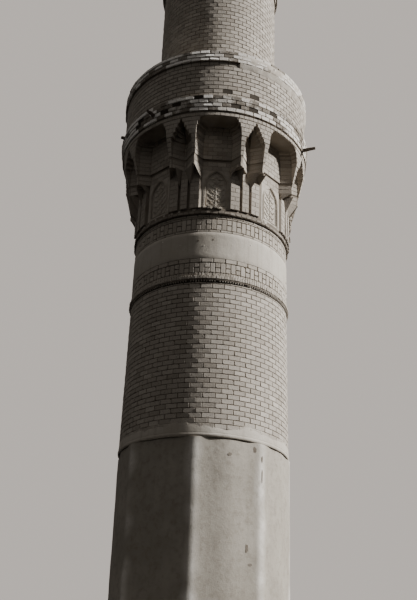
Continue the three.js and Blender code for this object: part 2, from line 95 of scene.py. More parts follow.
# Muqarnas bays: eight wide and eight narrow ones
BAYS = 8
BAY_PERIOD = 360 / BAYS
BAY_TURN = 4.2
PANEL_HALF_ANGLE = 10.3
PANEL_FACE = PANEL_RADIUS * math.cos(math.radians(PANEL_HALF_ANGLE))
ARCH_HALF_WIDTH = 0.220
ARCH_FOOT_Z = LOWER_TIER_Z + 0.060
ARCH_SPRING_Z = LOWER_TIER_Z + 0.560
ARCH_APEX_Z = ARCH_SPRING_Z + 0.340

# Brick and joint sizes
JOINT = 0.012
THIN_JOINT = 0.010
BRICK_EMBED = 0.020
BRICK_KINDS = 9
WIDEST_BEVEL = 0.012

# The photograph's camera and the light from its right
CAMERA_PLACE = (0.5875, -16.3486, 1.585)
CAMERA_PITCH = 21.138
CAMERA_ROLL = 2.044
CAMERA_YAW = 1.887
CAMERA_LENS = 49.93
CAMERA_SHIFT_UP = 0.1333
SUN_ANGLE = 82
SUN_HEIGHT = 30
SUN_STRENGTH = 7.8
SUN_SOFTNESS = 5
FILL_STRENGTH = 0.26
FILL_BELOW = 0.10
FILL_ABOVE = 1.6


def around(radius, degrees, z):
    turn = math.radians(degrees)
    return Vector((radius * math.sin(turn), -radius * math.cos(turn), z))


def bearing(position):
    return math.degrees(math.atan2(position.x, -position.y))


def blend(low, high, share):
    return low + (high - low) * min(max(share, 0.0), 1.0)


def curve_steps(low, high, count):
    return [low + (high - low) * k / count for k in range(count + 1)]


def profile(*points):
    """A value by height, straight between the given points of (height, value)."""
    def value_at(z):
        for (low, low_value), (high, high_value) in zip(points, points[1:]):
            if z <= high:
                break
        return blend(low_value, high_value, (z - low) / (high - low))
    return value_at


shaft_radius = profile((LEDGE_Z, SHAFT_FOOT_RADIUS), (UPPER_MOULDING_Z, SHAFT_TOP_RADIUS))
fascia_radius = profile((GALLERY_SOFFIT_Z, FASCIA_RADIUS), (GALLERY_FLOOR_Z, FASCIA_TOP_RADIUS))
upper_radius = profile((GALLERY_FLOOR_Z, UPPER_FOOT_RADIUS), (UPPER_SHAFT_TOP_Z, UPPER_TOP_RADIUS))


def beside(angle, across, distance, z):
    """A point so far from the axis in one direction, and then so far to the right."""
    return around(distance, angle, z) + around(across, angle + 90, 0)


# Node trees
def add_node(tree, kind, inputs=None, **settings):
    """Adds one node; inputs maps a socket to a value or to another node's output."""
    made = tree.nodes.new(kind)
    for key, value in settings.items():
        setattr(made, key, value)
    for key, value in (inputs or {}).items():
        if isinstance(value, bpy.types.NodeSocket):
            tree.links.new(value, made.inputs[key])
        else:
            made.inputs[key].default_value = value
    return made


def linear(code):
    """An sRGB hex colour as the linear colour that a shader takes."""
    channels = [int(code[k:k + 2], 16) / 255 for k in (1, 3, 5)]
    curve = [c / 12.92 if c <= 0.04045 else ((c + 0.055) / 1.055) ** 2.4 for c in channels]
    return (*curve, 1.0)


def start_material(name):
    material = bpy.data.materials.new(name)
    material.use_nodes = True
    tree = material.node_tree
    tree.nodes.clear()
    shader = add_node(tree, "ShaderNodeBsdfPrincipled")
    add_node(tree, "ShaderNodeOutputMaterial", {"Surface": shader.outputs["BSDF"]})
    place = add_node(tree, "ShaderNodeTexCoord").outputs["Object"]
    return material, tree, shader, place


def surfaced(tree, shader, colour, roughness, sheen, height, strength, distance):
    """Wires a colour and a fine relief into the shader and sets how matt it is."""
    tree.links.new(colour, shader.inputs["Base Color"])
    shader.inputs["Roughness"].default_value = roughness
    shader.inputs["Specular IOR Level"].default_value = sheen
    bump = add_node(tree, "ShaderNodeBump", {"Height": height, "Strength": strength, "Distance": distance})
    tree.links.new(bump.outputs["Normal"], shader.inputs["Normal"])


def stained(tree, colour, stains):
    """Lays stains over a colour: for each its pattern, where it starts and is full, its share and colour."""
    for pattern, start, full, share, code in stains:
        limits = {"Value": pattern, "From Min": start, "From Max": full, "To Min": 0.0, "To Max": share}
        amount = add_node(tree, "ShaderNodeMapRange", limits).outputs["Result"]
        over = add_node(tree, "ShaderNodeMix", {0: amount, 6: colour, 7: linear(code)}, data_type="RGBA")
        colour = over.outputs[2]
    return colour


# Fired brick, hand-moulded and sun-bleached: each brick has its own tone, with pits, soot and lime dust
SOOT_MM = 1100
BRICK_GRAIN_MM = 14
BRICK_PIT_MM = 26
LIME_PATCH_MM = 300
# Near white: fresh lime's own colour, and also painted light on the limed bricks of the shaded side
WHITE_LIME_AND_PAINTED_LIGHT = "#f6f1e8"
PIT_SHADE = "#4c463e"


def fired_brick(name, pale, dark, coat=None, coat_share=0.0):
    material, tree, shader, spot = start_material(name)
    tone = add_node(tree, "ShaderNodeAttribute", attribute_name="tone").outputs["Fac"]
    soot, grain, pits = [
        add_node(tree, "ShaderNodeTexNoise",
                 {"Vector": spot, "Scale": 1000 / size, "Detail": detail, "Roughness": rough}).outputs["Fac"]
        for size, detail, rough in ((SOOT_MM, 4.0, 0.5), (BRICK_GRAIN_MM, 4.0, 0.65),
                                    (BRICK_PIT_MM, 2.0, 0.5))]
    stains = [(tone, 0.0, 1.0, 1.0, pale), (soot, 0.42, 0.68, 0.45, dark), (grain, 0.35, 0.70, 0.35, pale)]
    if coat:
        patch = add_node(tree, "ShaderNodeTexNoise",
                         {"Vector": spot, "Scale": 1000 / LIME_PATCH_MM, "Detail": 5.0,
                          "Roughness": 0.6}).outputs["Fac"]
        summed = add_node(tree, "ShaderNodeMath", {0: tone, 1: patch}, operation="ADD").outputs[0]
        edge = 1.55 - coat_share
        # Above the highest tones the coat turns near white; on the shaded side, where these tones are given,
        # this is painted light
        stains += [(summed, edge - 0.06, edge + 0.06, 1.0, coat), (tone, 0.75, 0.92, 1.0, WHITE_LIME_AND_PAINTED_LIGHT)]
    stains.append((pits, 0.42, 0.30, 0.45, PIT_SHADE))
    height = add_node(tree, "ShaderNodeMath", {0: grain, 1: pits}, operation="ADD").outputs[0]
    surfaced(tree, shader, stained(tree, linear(dark), stains), 0.92, 0.3, height, 0.5, 0.006)
    return material


# Lime and mud plaster, trowelled by hand: cloudy patches, faint runs of rain, blotches, and corners painted
# pale, partly as rubbing and partly as a painted highlight
PLASTER_GRAIN_MM = 11
RAIN_RUN_MM = 110
MOTTLE_MM = 120


def trowelled_plaster(name, pale, dark, streak, run_share=0.55, mottle_share=0.0, cloud_mm=900, rubbed_and_highlit=None):
    material, tree, shader, spot = start_material(name)
    flowing = add_node(tree, "ShaderNodeMapping",
                       {"Vector": spot, "Scale": (1000 / RAIN_RUN_MM, 1000 / RAIN_RUN_MM, 0.7)}).outputs[0]
    cloud, mottle, grain, runs = [
        add_node(tree, "ShaderNodeTexNoise",
                 {"Vector": vector, "Scale": scale, "Detail": detail, "Roughness": rough}).outputs["Fac"]
        for vector, scale, detail, rough in (
            (spot, 1000 / cloud_mm, 5.0, 0.6), (spot, 1000 / MOTTLE_MM, 5.0, 0.7),
            (spot, 1000 / PLASTER_GRAIN_MM, 3.0, 0.5), (flowing, 1.0, 4.0, 0.6))]
    stains = [(cloud, 0.35, 0.68, 1.0, pale), (runs, 0.52, 0.72, run_share, streak),
              (mottle, 0.48, 0.68, mottle_share, streak), (grain, 0.40, 0.75, 0.25, dark)]
    # Pale corners: partly rubbing, partly a painted highlight
    if rubbed_and_highlit:
        rub = add_node(tree, "ShaderNodeAttribute", attribute_name="rub").outputs["Fac"]
        worn = add_node(tree, "ShaderNodeMath", {0: rub, 1: mottle}, operation="MULTIPLY").outputs[0]
        stains.append((worn, 0.12, 0.50, 0.85, rubbed_and_highlit))
    coarse = add_node(tree, "ShaderNodeMath", {0: cloud, 1: mottle}, operation="ADD").outputs[0]
    coarse = add_node(tree, "ShaderNodeMath", {0: coarse, 1: 2.0}, operation="MULTIPLY").outputs[0]
    height = add_node(tree, "ShaderNodeMath", {0: coarse, 1: grain}, operation="ADD").outputs[0]
    surfaced(tree, shader, stained(tree, linear(dark), stains), 0.95, 0.25, height, 0.4, 0.010)
    return material


# Lime mortar set back in the joints: sandy, greyed by soot and dust
MORTAR_PATCH_MM = 500
GRIT_MM = 8


def sandy_mortar(name, pale, dark):
    material, tree, shader, spot = start_material(name)
    patch, grit = [
        add_node(tree, "ShaderNodeTexNoise",
                 {"Vector": spot, "Scale": 1000 / size, "Detail": detail, "Roughness": rough}).outputs["Fac"]
        for size, detail, rough in ((MORTAR_PATCH_MM, 4.0, 0.6), (GRIT_MM, 2.0, 0.5))]
    colour = stained(tree, linear(dark), [(patch, 0.35, 0.7, 1.0, pale), (grit, 0.4, 0.7, 0.3, dark)])
    surfaced(tree, shader, colour, 0.97, 0.2, grit, 0.5, 0.004)
    return material


# Poplar pole, unpainted: silvered by weather, with dark drying cracks along the grain
FIBRE_MM = 8
SILVER_PATCH_MM = 110


def weathered_poplar(name):
    material, tree, shader, spot = start_material(name)
    fibre, cloud = [
        add_node(tree, "ShaderNodeTexNoise",
                 {"Vector": spot, "Scale": 1000 / size, "Detail": 3.0, "Roughness": rough}).outputs["Fac"]
        for size, rough in ((FIBRE_MM, 0.7), (SILVER_PATCH_MM, 0.5))]
    colour = stained(tree, linear("#4a3f34"), [(cloud, 0.35, 0.65, 1.0, "#75695d"),
                                               (fibre, 0.50, 0.70, 0.6, "#2c251e")])
    surfaced(tree, shader, colour, 0.85, 0.5, fibre, 0.5, 0.003)
    return material


SHAFT_BRICK = fired_brick("sun-bleached fired brick", "#c6bdb0", "#9d9386")
BAND_BRICK = fired_brick("patterned band brick", "#c6bdb0", "#a3998b")
MUQARNAS_BRICK = fired_brick("muqarnas brick", "#c0b7aa", "#968c7f")
# Lime-coated brick; where the tone is highest it turns near white, which on the shaded side is painted light
LIMED_BRICK_WITH_PAINTED_LIGHT = fired_brick("lime-coated brick", "#a89e91", "#7d7468", "#ddd6cb", 0.95)
MORTAR = sandy_mortar("lime mortar", "#8e8579", "#695f54")
PALE_MORTAR = sandy_mortar("fresh lime mortar", "#aaa093", "#897f72")
# Near black, as painted shade: the shadow line under the low moulding, and in the holes of lost bricks partly
# the core's own dark colour and partly the hole's shade
PAINTED_SHADE_CORE = sandy_mortar("sooty rubble core", "#4f473d", "#3a342c")
WORN_BRICK = fired_brick("crumbling moulding brick", "#a89f92", "#7a7165")
# Its pale corner colour is partly rubbing and partly a painted highlight
MUD_PLASTER = trowelled_plaster("mud and straw plaster", "#b2aa9d", "#9f978a", "#857c6f", 0.2, 0.55,
                                rubbed_and_highlit="#dfd9cf")
LIME_PLASTER = trowelled_plaster("aged lime plaster", "#c8c0b3", "#b5ac9e", "#9c9285")
FRESH_LIME = trowelled_plaster("splashed fresh lime", WHITE_LIME_AND_PAINTED_LIGHT, "#ded8cc", "#cfc8bb")
CARVED_PLASTER = trowelled_plaster("carved lime plaster", "#cbc3b6", "#b0a698", "#a0968a", cloud_mm=160)
POPLAR = weathered_poplar("weathered poplar")


# Bricks
def worn_outline(length, height, wear, chance):
    """Eight points round a brick's face: a cut at each corner, and one bigger chip at times."""
    half_length = length / 2
    half_height = height / 2
    chipped = chance.randrange(4) if chance.random() < wear else -1
    points = []
    corners = [(1, -1), (1, 1), (-1, 1), (-1, -1)]
    for k, (side, up) in enumerate(corners):
        cut = chance.uniform(0.003, 0.008)
        if k == chipped:
            cut = chance.uniform(0.015, min(0.04, half_height * 0.8))
        x = side * (half_length + chance.uniform(-0.002, 0.001))
        z = up * (half_height + chance.uniform(-0.002, 0.001))
        along = (side * (half_length - cut), z)
        upright = (x, up * (half_height - cut * 0.8))
        points += [along, upright] if side * up < 0 else [upright, along]
    return points


def mesh_from(name, points, faces):
    """A mesh whose faces all point outwards, with the points that meet made one."""
    work = bmesh.new()
    corners = [work.verts.new(point) for point in points]
    for face in faces:
        work.faces.new([corners[k] for k in face])
    bmesh.ops.remove_doubles(work, verts=work.verts, dist=1e-5)
    bmesh.ops.recalc_face_normals(work, faces=work.faces)
    mesh = bpy.data.meshes.new(name)
    work.to_mesh(mesh)
    work.free()
    return mesh


def tube(count, rings):
    """Faces of a closed tube of rings with so many points each: both ends, then the sides."""
    last = (rings - 1) * count
    faces = [tuple(range(count)), tuple(range(last, last + count))]
    for start in range(0, last, count):
        for k in range(count):
            following = start + (k + 1) % count
            faces.append((start + k, following, following + count, start + k + count))
    return faces


def joined(shapes):
    """Several shapes of points and faces as one."""
    points, faces = [], []
    for part_points, part_faces in shapes:
        faces += [tuple(len(points) + k for k in face) for face in part_faces]
        points += part_points
    return points, faces


def placed(name, data):
    thing = bpy.data.objects.new(name, data)
    bpy.context.collection.objects.link(thing)
    return thing


def brick_shapes(label, length, height, proud, wear, seed, finish):
    """A few worn bricks of one size: the front faces -Y and the wall's face is at y = 0."""
    shapes = bpy.data.collections.new(label)
    chance = random.Random(seed)
    half_length = length / 2
    half_height = height / 2
    for kind in range(BRICK_KINDS):
        outline = worn_outline(length, height, wear, chance)
        bevel = chance.uniform(0.25, 0.5) * min(proud, WIDEST_BEVEL)
        lean = chance.uniform(-0.0015, 0.0015)
        points = [(x, BRICK_EMBED, z) for x, z in outline] + [(x, bevel - proud, z) for x, z in outline]
        points += [(x * (1 - bevel / half_length), lean * x / half_length - proud,
                    z * (1 - bevel / half_height)) for x, z in outline]
        mesh = mesh_from(f"{label}_{kind}", points, tube(len(outline), 3))
        mesh.materials.append(finish)
        shapes.objects.link(bpy.data.objects.new(mesh.name, mesh))
    return shapes


def bricklayer():
    """Sets one of a few bricks on every place, drops some, and pushes and turns each a little."""
    tree = bpy.data.node_groups.new("bricklayer", "GeometryNodeTree")
    sockets = [("Places", "Geometry"), ("Bricks", "Collection"), ("Last Kind", "Int"), ("Seed", "Int"),
               ("Lost", "Float"), ("Uneven", "Float"), ("Tilt", "Float"), ("Finish", "Material")]
    for name, kind in sockets:
        tree.interface.new_socket(name, in_out="INPUT", socket_type=f"NodeSocket{kind}")
    tree.interface.new_socket("Wall", in_out="OUTPUT", socket_type="NodeSocketGeometry")
    given = add_node(tree, "NodeGroupInput").outputs
    lost = add_node(tree, "FunctionNodeRandomValue", {6: given["Lost"], 8: given["Seed"]},
                    data_type="BOOLEAN")
    kept = add_node(tree, "GeometryNodeDeleteGeometry",
                    {"Geometry": given["Places"], "Selection": lost.outputs[3]})
    turn = add_node(tree, "GeometryNodeInputNamedAttribute", {"Name": "turn"}, data_type="FLOAT_VECTOR")
    size = add_node(tree, "GeometryNodeInputNamedAttribute", {"Name": "size"}, data_type="FLOAT_VECTOR")
    facing = add_node(tree, "FunctionNodeEulerToRotation", {"Euler": turn.outputs["Attribute"]})
    any_way = add_node(tree, "FunctionNodeRandomValue", {0: (-1, -1, -1), 1: (1, 1, 1), 8: given["Seed"]},
                       data_type="FLOAT_VECTOR")
    small = add_node(tree, "ShaderNodeVectorMath", {0: any_way.outputs[0], "Scale": given["Tilt"]},
                     operation="SCALE")
    nudge = add_node(tree, "FunctionNodeEulerToRotation", {"Euler": small.outputs[0]})
    resting = add_node(tree, "FunctionNodeRotateRotation",
                       {"Rotation": facing.outputs[0], "Rotate By": nudge.outputs[0]}, rotation_space="LOCAL")
    kind = add_node(tree, "FunctionNodeRandomValue", {4: 0, 5: given["Last Kind"], 8: given["Seed"]},
                    data_type="INT")
    bricks = add_node(tree, "GeometryNodeCollectionInfo",
                      {"Collection": given["Bricks"], "Separate Children": True, "Reset Children": True})
    laid = add_node(tree, "GeometryNodeInstanceOnPoints",
                    {"Points": kept.outputs[0], "Instance": bricks.outputs[0], "Pick Instance": True,
                     "Instance Index": kind.outputs[2], "Rotation": resting.outputs[0],
                     "Scale": size.outputs["Attribute"]})
    least, most = [
        add_node(tree, "ShaderNodeVectorMath", {0: (0, side, 0), "Scale": given["Uneven"]}, operation="SCALE")
        for side in (-1, 1)]
    depth = add_node(tree, "FunctionNodeRandomValue",
                     {0: least.outputs[0], 1: most.outputs[0], 8: given["Seed"]}, data_type="FLOAT_VECTOR")
    pushed = add_node(tree, "GeometryNodeTranslateInstances",
                      {"Instances": laid.outputs[0], "Translation": depth.outputs[0], "Local Space": True})
    real = add_node(tree, "GeometryNodeRealizeInstances", {"Geometry": pushed.outputs[0]})
    painted = add_node(tree, "GeometryNodeSetMaterial",
                       {"Geometry": real.outputs[0], "Material": given["Finish"]})
    add_node(tree, "NodeGroupOutput", {"Wall": painted.outputs[0]})
    return tree


BRICKLAYER = bricklayer()


def place(position, azimuth, stretch=1.0, rise=1.0, lean=0.0, tone=None):
    """One brick's place: where, which way it faces, how it is scaled, and its tone if it is set."""
    return position, (math.radians(lean), 0.0, math.radians(azimuth)), (stretch, 1.0, rise), tone


def on_tower(piece, slot, *replaced):
    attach(piece, "root")
    if replaced:
        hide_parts(*replaced)
    return piece


def make_piece(name, slot, points, faces, finish, smooth_below=0.0, replaced=()):
    """A piece of the builder's own mesh; edges flatter than the given angle are shaded smooth."""
    mesh = mesh_from(name, points, faces)
    mesh.materials.append(finish)
    if smooth_below:
        for face in mesh.polygons:
            face.use_smooth = True
        mesh.set_sharp_from_angle(angle=math.radians(smooth_below))
    return on_tower(placed(name, mesh), slot, *replaced)


def turned_piece(name, slot, outline, finish, start=0.0, end=360.0, segments=160, uneven=0.0,
                 smooth_below=40.0, replaced=()):
    """A closed outline of (radius, z) turned about the axis, a little uneven as laid by hand. The outline may
    be a function of the angle."""
    whole = end - start > 359.9
    rows = segments if whole else segments + 1
    points = []
    for k in range(rows):
        angle = start + (end - start) * k / segments
        shape = outline(angle) if callable(outline) else outline
        for radius, z in shape:
            push = uneven * noise.noise(around(radius, angle, z) * 5.0) if radius else 0.0
            points.append(around(radius + push, angle, z))
    count = len(shape)
    faces = []
    for k in range(segments):
        near = k * count
        far = ((k + 1) % rows) * count
        for j in range(count):
            following = (j + 1) % count
            if shape[j][0] or shape[following][0]:
                faces.append((near + j, near + following, far + following, far + j))
    if not whole:
        faces.append(tuple(range(count)))
        faces.append(tuple(segments * count + j for j in range(count)))
    return make_piece(name, slot, points, faces, finish, smooth_below, replaced)


def lay(name, slot, places, length, height, finish, seed, proud=0.008, wear=0.25, lost=0.0,
        uneven=0.0018, tilt=0.4):
    """Lays bricks of one size on all the places and keeps them as one plain mesh."""
    chance = random.Random(seed)
    cloud = bpy.data.meshes.new(name)
    cloud.from_pydata([spot[0] for spot in places], [], [])
    for attribute, kind in (("turn", "FLOAT_VECTOR"), ("size", "FLOAT_VECTOR"), ("tone", "FLOAT")):
        cloud.attributes.new(attribute, kind, "POINT")
    turns, sizes, tones = (cloud.attributes[attribute].data for attribute in ("turn", "size", "tone"))
    for k, (position, turn, size, tone) in enumerate(places):
        turns[k].vector = turn
        length_share = size[0] * chance.uniform(0.975, 1.01)
        sizes[k].vector = (length_share, size[1], size[2] * chance.uniform(0.96, 1.02))
        tones[k].value = chance.betavariate(2.2, 2.0) if tone is None else tone
    wall = placed(name, cloud)
    shapes = brick_shapes(name + "_shape", length, height, proud, wear, seed, finish)
    bpy.context.scene.collection.children.link(shapes)
    modifier = wall.modifiers.new("bricklayer", "NODES")
    modifier.node_group = BRICKLAYER
    given = {"Bricks": shapes, "Last Kind": BRICK_KINDS - 1, "Seed": seed, "Lost": lost, "Uneven": uneven,
             "Tilt": math.radians(tilt), "Finish": finish}
    for socket in BRICKLAYER.interface.items_tree:
        if socket.name in given:
            modifier[socket.identifier] = given[socket.name]
    bpy.context.view_layer.update()
    ready = wall.evaluated_get(bpy.context.evaluated_depsgraph_get())
    mesh = bpy.data.meshes.new_from_object(ready)
    wall.modifiers.clear()
    wall.data = mesh
    mesh.name = name
    for shape in list(shapes.objects):
        bpy.data.objects.remove(shape)
    bpy.data.collections.remove(shapes)
    return on_tower(wall, slot)


def ring(radius, z, bricks, shift=0.0, turn=0.0, stretch=1.0, lean=0.0):
    """Places for one course all the way round; shift is a share of a brick, turn is added to each bearing."""
    angles = [360 * (k + shift) / bricks for k in range(bricks)]
    return [place(around(radius, angle, z), angle + turn, stretch, lean=lean) for angle in angles]


def round_wall(low, high, courses, bricks, radius_at, inwards=False, lean=0.0):
    """Running bond round the tower."""
    places = []
    course = (high - low) / courses
    for row in range(courses):
        z = low + (row + 0.5) * course
        stretch = radius_at(z) / radius_at(low)
        places += ring(radius_at(z), z, bricks, 0.5 * (row % 2), 180 if inwards else 0, stretch, lean)
    return places


def brick_length(radius, bricks):
    return 2 * math.pi * radius / bricks - JOINT


# Lower shaft: half-brick running bond
SHAFT_BRICKS = 45
SHAFT_COURSE = 0.1004
SHAFT_COURSES = 32
SHAFT_BRICK_TOP_Z = 9.405
SHAFT_BRICK_Z = SHAFT_BRICK_TOP_Z - SHAFT_COURSES * SHAFT_COURSE
lay("lower_shaft_bricks", "brick",
    round_wall(SHAFT_BRICK_Z, SHAFT_BRICK_TOP_Z, SHAFT_COURSES, SHAFT_BRICKS, shaft_radius),
    brick_length(SHAFT_FOOT_RADIUS, SHAFT_BRICKS), SHAFT_COURSE - JOINT, SHAFT_BRICK, 11)

# Patterned bands: one upright brick beside two short ones laid flat, all the way round
CELLS = 100
BELT_BRICKS = 44


def cell_band(low, high):
    places = []
    middle = (low + high) / 2
    quarter = (high - low) / 4
    radius = shaft_radius(middle)
    for k in range(CELLS):
        angle = 360 * k / CELLS
        if k % 2:
            places.append(place(around(radius, angle, middle), angle))
            continue
        for z in (middle - quarter, middle + quarter):
            places.append(place(around(radius, angle, z), angle, rise=0.5 - JOINT / (4 * quarter)))
    return places


for name, low, high, seed in (("low_band_cells", LOW_CELLS_Z, LOW_CELLS_TOP_Z, 21),
                              ("high_band_cells", HIGH_CELLS_Z, HIGH_CELLS_TOP_Z, 22)):
    lay(name, "brick", cell_band(low, high), brick_length(SHAFT_TOP_RADIUS, CELLS), high - low - JOINT,
        BAND_BRICK, seed, proud=0.014)
belts = [("low_band_top_course", LOW_CELLS_TOP_Z, PLASTER_BAND_Z),
         ("high_band_foot_course", PLASTER_BAND_TOP_Z, HIGH_CELLS_Z),
         ("high_band_top_course", HIGH_CELLS_TOP_Z, WORN_COURSE_Z),
         ("high_band_worn_course", WORN_COURSE_Z, UPPER_MOULDING_Z)]
for number, (name, low, high) in enumerate(belts):
    middle = (low + high) / 2
    lay(name, "brick", ring(shaft_radius(middle), middle, BELT_BRICKS, 0.5 * (number % 2)),
        brick_length(SHAFT_TOP_RADIUS, BELT_BRICKS), high - low - THIN_JOINT, BAND_BRICK, 31 + number,
        proud=0.016)


# Mouldings: below, rough narrow bricks on end that project over small teeth; above, two worn courses
TEETH = 200
UPPER_BLOCKS = 88
BED_Z = 9.334
BED_TOP_Z = 9.406
BED_INNER_RADIUS = SHAFT_TOP_RADIUS - 0.010
BED_RADIUS = shaft_radius((BED_Z + BED_TOP_Z) / 2) + 0.013


def moulding(name, low, high, bricks, reach, length, height, finish, seed, shift=0.0, **looks):
    """One course, from low to high, that stands out from the shaft by its reach."""
    places = ring(shaft_radius(low) + reach, (low + high) / 2, bricks, shift)
    lay(name, "brick", places, length, height, finish, seed, **looks)


# A ring behind the teeth whose near-black colour is painted shade, making the shadow line under the moulding
turned_piece("low_moulding_dark_bed", "brick",
             [(BED_INNER_RADIUS, BED_Z), (BED_RADIUS, BED_Z),
              (BED_RADIUS, BED_TOP_Z), (BED_INNER_RADIUS, BED_TOP_Z)], PAINTED_SHADE_CORE)
moulding("low_moulding_teeth", 9.350, 9.404, TEETH, reach=0.016, length=0.026, height=0.050,
         finish=BAND_BRICK, seed=42, proud=0.014, wear=0.6, lost=0.06, tilt=3.0)
moulding("low_moulding_course", BED_TOP_Z, 9.476, TEETH, reach=0.042, length=0.047, height=0.068,
         finish=BAND_BRICK, seed=41, wear=0.7, uneven=0.004, tilt=3.0)
moulding("low_band_foot_course", 9.480, LOW_CELLS_Z, TEETH, reach=0.006, length=0.047, height=0.070,
         finish=BAND_BRICK, seed=40, shift=0.5, wear=0.6, uneven=0.003, tilt=2.0)
moulding("upper_moulding_course", 10.906, 10.964, UPPER_BLOCKS, reach=0.050,
         length=brick_length(1.71, UPPER_BLOCKS), height=0.052, finish=WORN_BRICK, seed=43, proud=0.010,
         wear=0.8, uneven=0.005, tilt=4.0)
moulding("upper_moulding_top_course", 10.966, 11.026, UPPER_BLOCKS, reach=0.036,
         length=brick_length(1.70, UPPER_BLOCKS), height=0.056, finish=BAND_BRICK, seed=44, shift=0.5,
         proud=0.010, wear=0.9, uneven=0.006, tilt=5.0, lost=0.04)


def rubble_places(start, end, count, seed, low=11.020, high=11.050, near=1.705, far=1.735):
    """Loose or broken bits of brick, as on the moulding's top."""
    chance = random.Random(seed)
    places = []
    for _ in range(count):
        angle = chance.uniform(start, end)
        spot = around(chance.uniform(near, far), angle, chance.uniform(low, high))
        places.append(place(spot, angle, stretch=chance.uniform(0.5, 1.3), rise=chance.uniform(0.6, 1.3),
                            lean=chance.uniform(-30, 10)))
    return places


rubble = rubble_places(-6.0, 9.0, 22, 45)
rubble += rubble_places(60.0, 92.0, 34, 46)
rubble += rubble_places(170.0, 215.0, 30, 47)
rubble += rubble_places(82.0, 90.0, 26, 49, low=11.10, high=11.85, near=1.735, far=1.765)
lay("moulding_rubble", "brick", rubble, 0.060, 0.040, WORN_BRICK, 48, proud=0.016, wear=0.9, tilt=20.0)


# Muqarnas walls: the plan of every niche, in its bay's own frame of (across, distance from the axis)
TIER_FOOT_RADIUS = 1.945
TIER_FLARE_Z = 12.110
LEAN_REACH = 0.03
MOUTH_INSET = 0.012
NARROWEST_HALF = 0.03
SHORTEST_RUN = 0.035
SPANDREL_PITCH = 0.115
SPANDREL_JOINT = 0.006
TIER_BELLY_RADIUS = 2.090
TIER_BELLY_Z = 12.690
TIER_TOP_RADIUS = 2.098
TIER_PITCH = 0.215
TIER_COURSE = 0.1025
TIER_COURSES = 8
FOOT_COURSE = 0.104
FOOT_COURSES = 2

# Distance from the axis and half width, of the back and of the mouth
WIDE_NICHE = ((1.700, 0.305), (1.891, 0.475))
WIDE_FOOT = ((PANEL_FACE, 0.295), (1.891, 0.487))
WIDE_HEAD_Z = NICHE_TOP_Z - 0.340
WIDE_HEAD_INSET = 0.140
NARROW_NICHE = ((1.745, 0.022), (1.937, 0.228))
NARROW_FOOT = ((1.728, 0.022), (1.937, 0.240))
NARROW_HEAD_Z = 12.580


tier_radius = profile((TIER_FLARE_Z, TIER_FOOT_RADIUS), (TIER_BELLY_Z, TIER_BELLY_RADIUS),
                      (GALLERY_SOFFIT_Z, TIER_TOP_RADIUS))


def tier_lean(z):
    """How far the tier's face leans out, in degrees."""
    rise = tier_radius(z + LEAN_REACH) - tier_radius(z - LEAN_REACH)
    return math.degrees(math.atan2(rise, 2 * LEAN_REACH))


def splayed(plan, distance):
    (back, back_half), (mouth, mouth_half) = plan
    return blend(back_half, mouth_half, (distance - back) / (mouth - back))


def wide_half(distance, z):
    if z < STRING_COURSE_Z:
        return splayed(WIDE_FOOT, distance)
    half = splayed(WIDE_NICHE, distance)
    if z <= WIDE_HEAD_Z:
        return half
    turn = math.asin(min((z - WIDE_HEAD_Z) / (NICHE_TOP_Z - WIDE_HEAD_Z), 1.0))
    return half - WIDE_HEAD_INSET * (1 - math.cos(turn))


def narrow_half(distance, z):
    if z < STRING_COURSE_Z:
        return splayed(NARROW_FOOT, distance)
    half = splayed(NARROW_NICHE, distance)
    return half * min(1.0, (NICHE_TOP_Z - z) / (NICHE_TOP_Z - NARROW_HEAD_Z))


def mouth_distance(half_at, z):
    """Where a niche's flank meets the tier's round face, as the distance from the axis."""
    radius = tier_radius(z)
    low, high = 1.6, radius
    for _ in range(24):
        middle = (low + high) / 2
        if math.hypot(half_at(middle, z), middle) < radius:
            low = middle
        else:
            high = middle
    return low


def joints_along(length, pitch, shifted):
    """Where the upright joints of one course lie: whole bricks, or a half one at each end."""
    count = max(1, round(length / pitch))
    whole = length / count
    if not shifted or count == 1:
        return [whole * k for k in range(count + 1)]
    return [0.0] + [whole * (k + 0.5) for k in range(count)] + [length]


def wall_run(bay, start, end, z, pitch, shifted):
    """One course of bricks from one plan point to another, seen from outside from left to right."""
    across = end[0] - start[0]
    depth = end[1] - start[1]
    length = math.hypot(across, depth)
    azimuth = bay + math.degrees(math.atan2(-depth, across))
    joints = joints_along(length, pitch, shifted)
    places = []
    for left, right in zip(joints, joints[1:]):
        share = (left + right) / 2 / length
        spot = beside(bay, start[0] + across * share, start[1] + depth * share, z)
        places.append(place(spot, azimuth, max(right - left - JOINT, 0.02) / (pitch - JOINT)))
    return places


# Two courses under the string course, which is an open dark line, and eight above it
TIER_ROWS = [UPPER_TIER_Z + (row + 0.5) * FOOT_COURSE for row in range(FOOT_COURSES)]
TIER_ROWS += [STRING_COURSE_Z + (row + 0.5) * TIER_COURSE for row in range(TIER_COURSES)]


def niche_courses(half_at, plan_above, plan_below, bay):
    places = []
    for row, z in enumerate(TIER_ROWS):
        (back, _), (knee, _) = plan_below if z < STRING_COURSE_Z else plan_above
        mouth = mouth_distance(half_at, z) - MOUTH_INSET
        if half_at(mouth, z) < NARROWEST_HALF:
            continue
        right = [(half_at(distance, z), distance) for distance in (back, min(knee, mouth), mouth)]
        plan = [(-across, distance) for across, distance in reversed(right)] + right
        for start, end in zip(plan, plan[1:]):
            if math.hypot(end[0] - start[0], end[1] - start[1]) > SHORTEST_RUN:
                places += wall_run(bay, start, end, z, TIER_PITCH, row % 2 == 1)
    return places


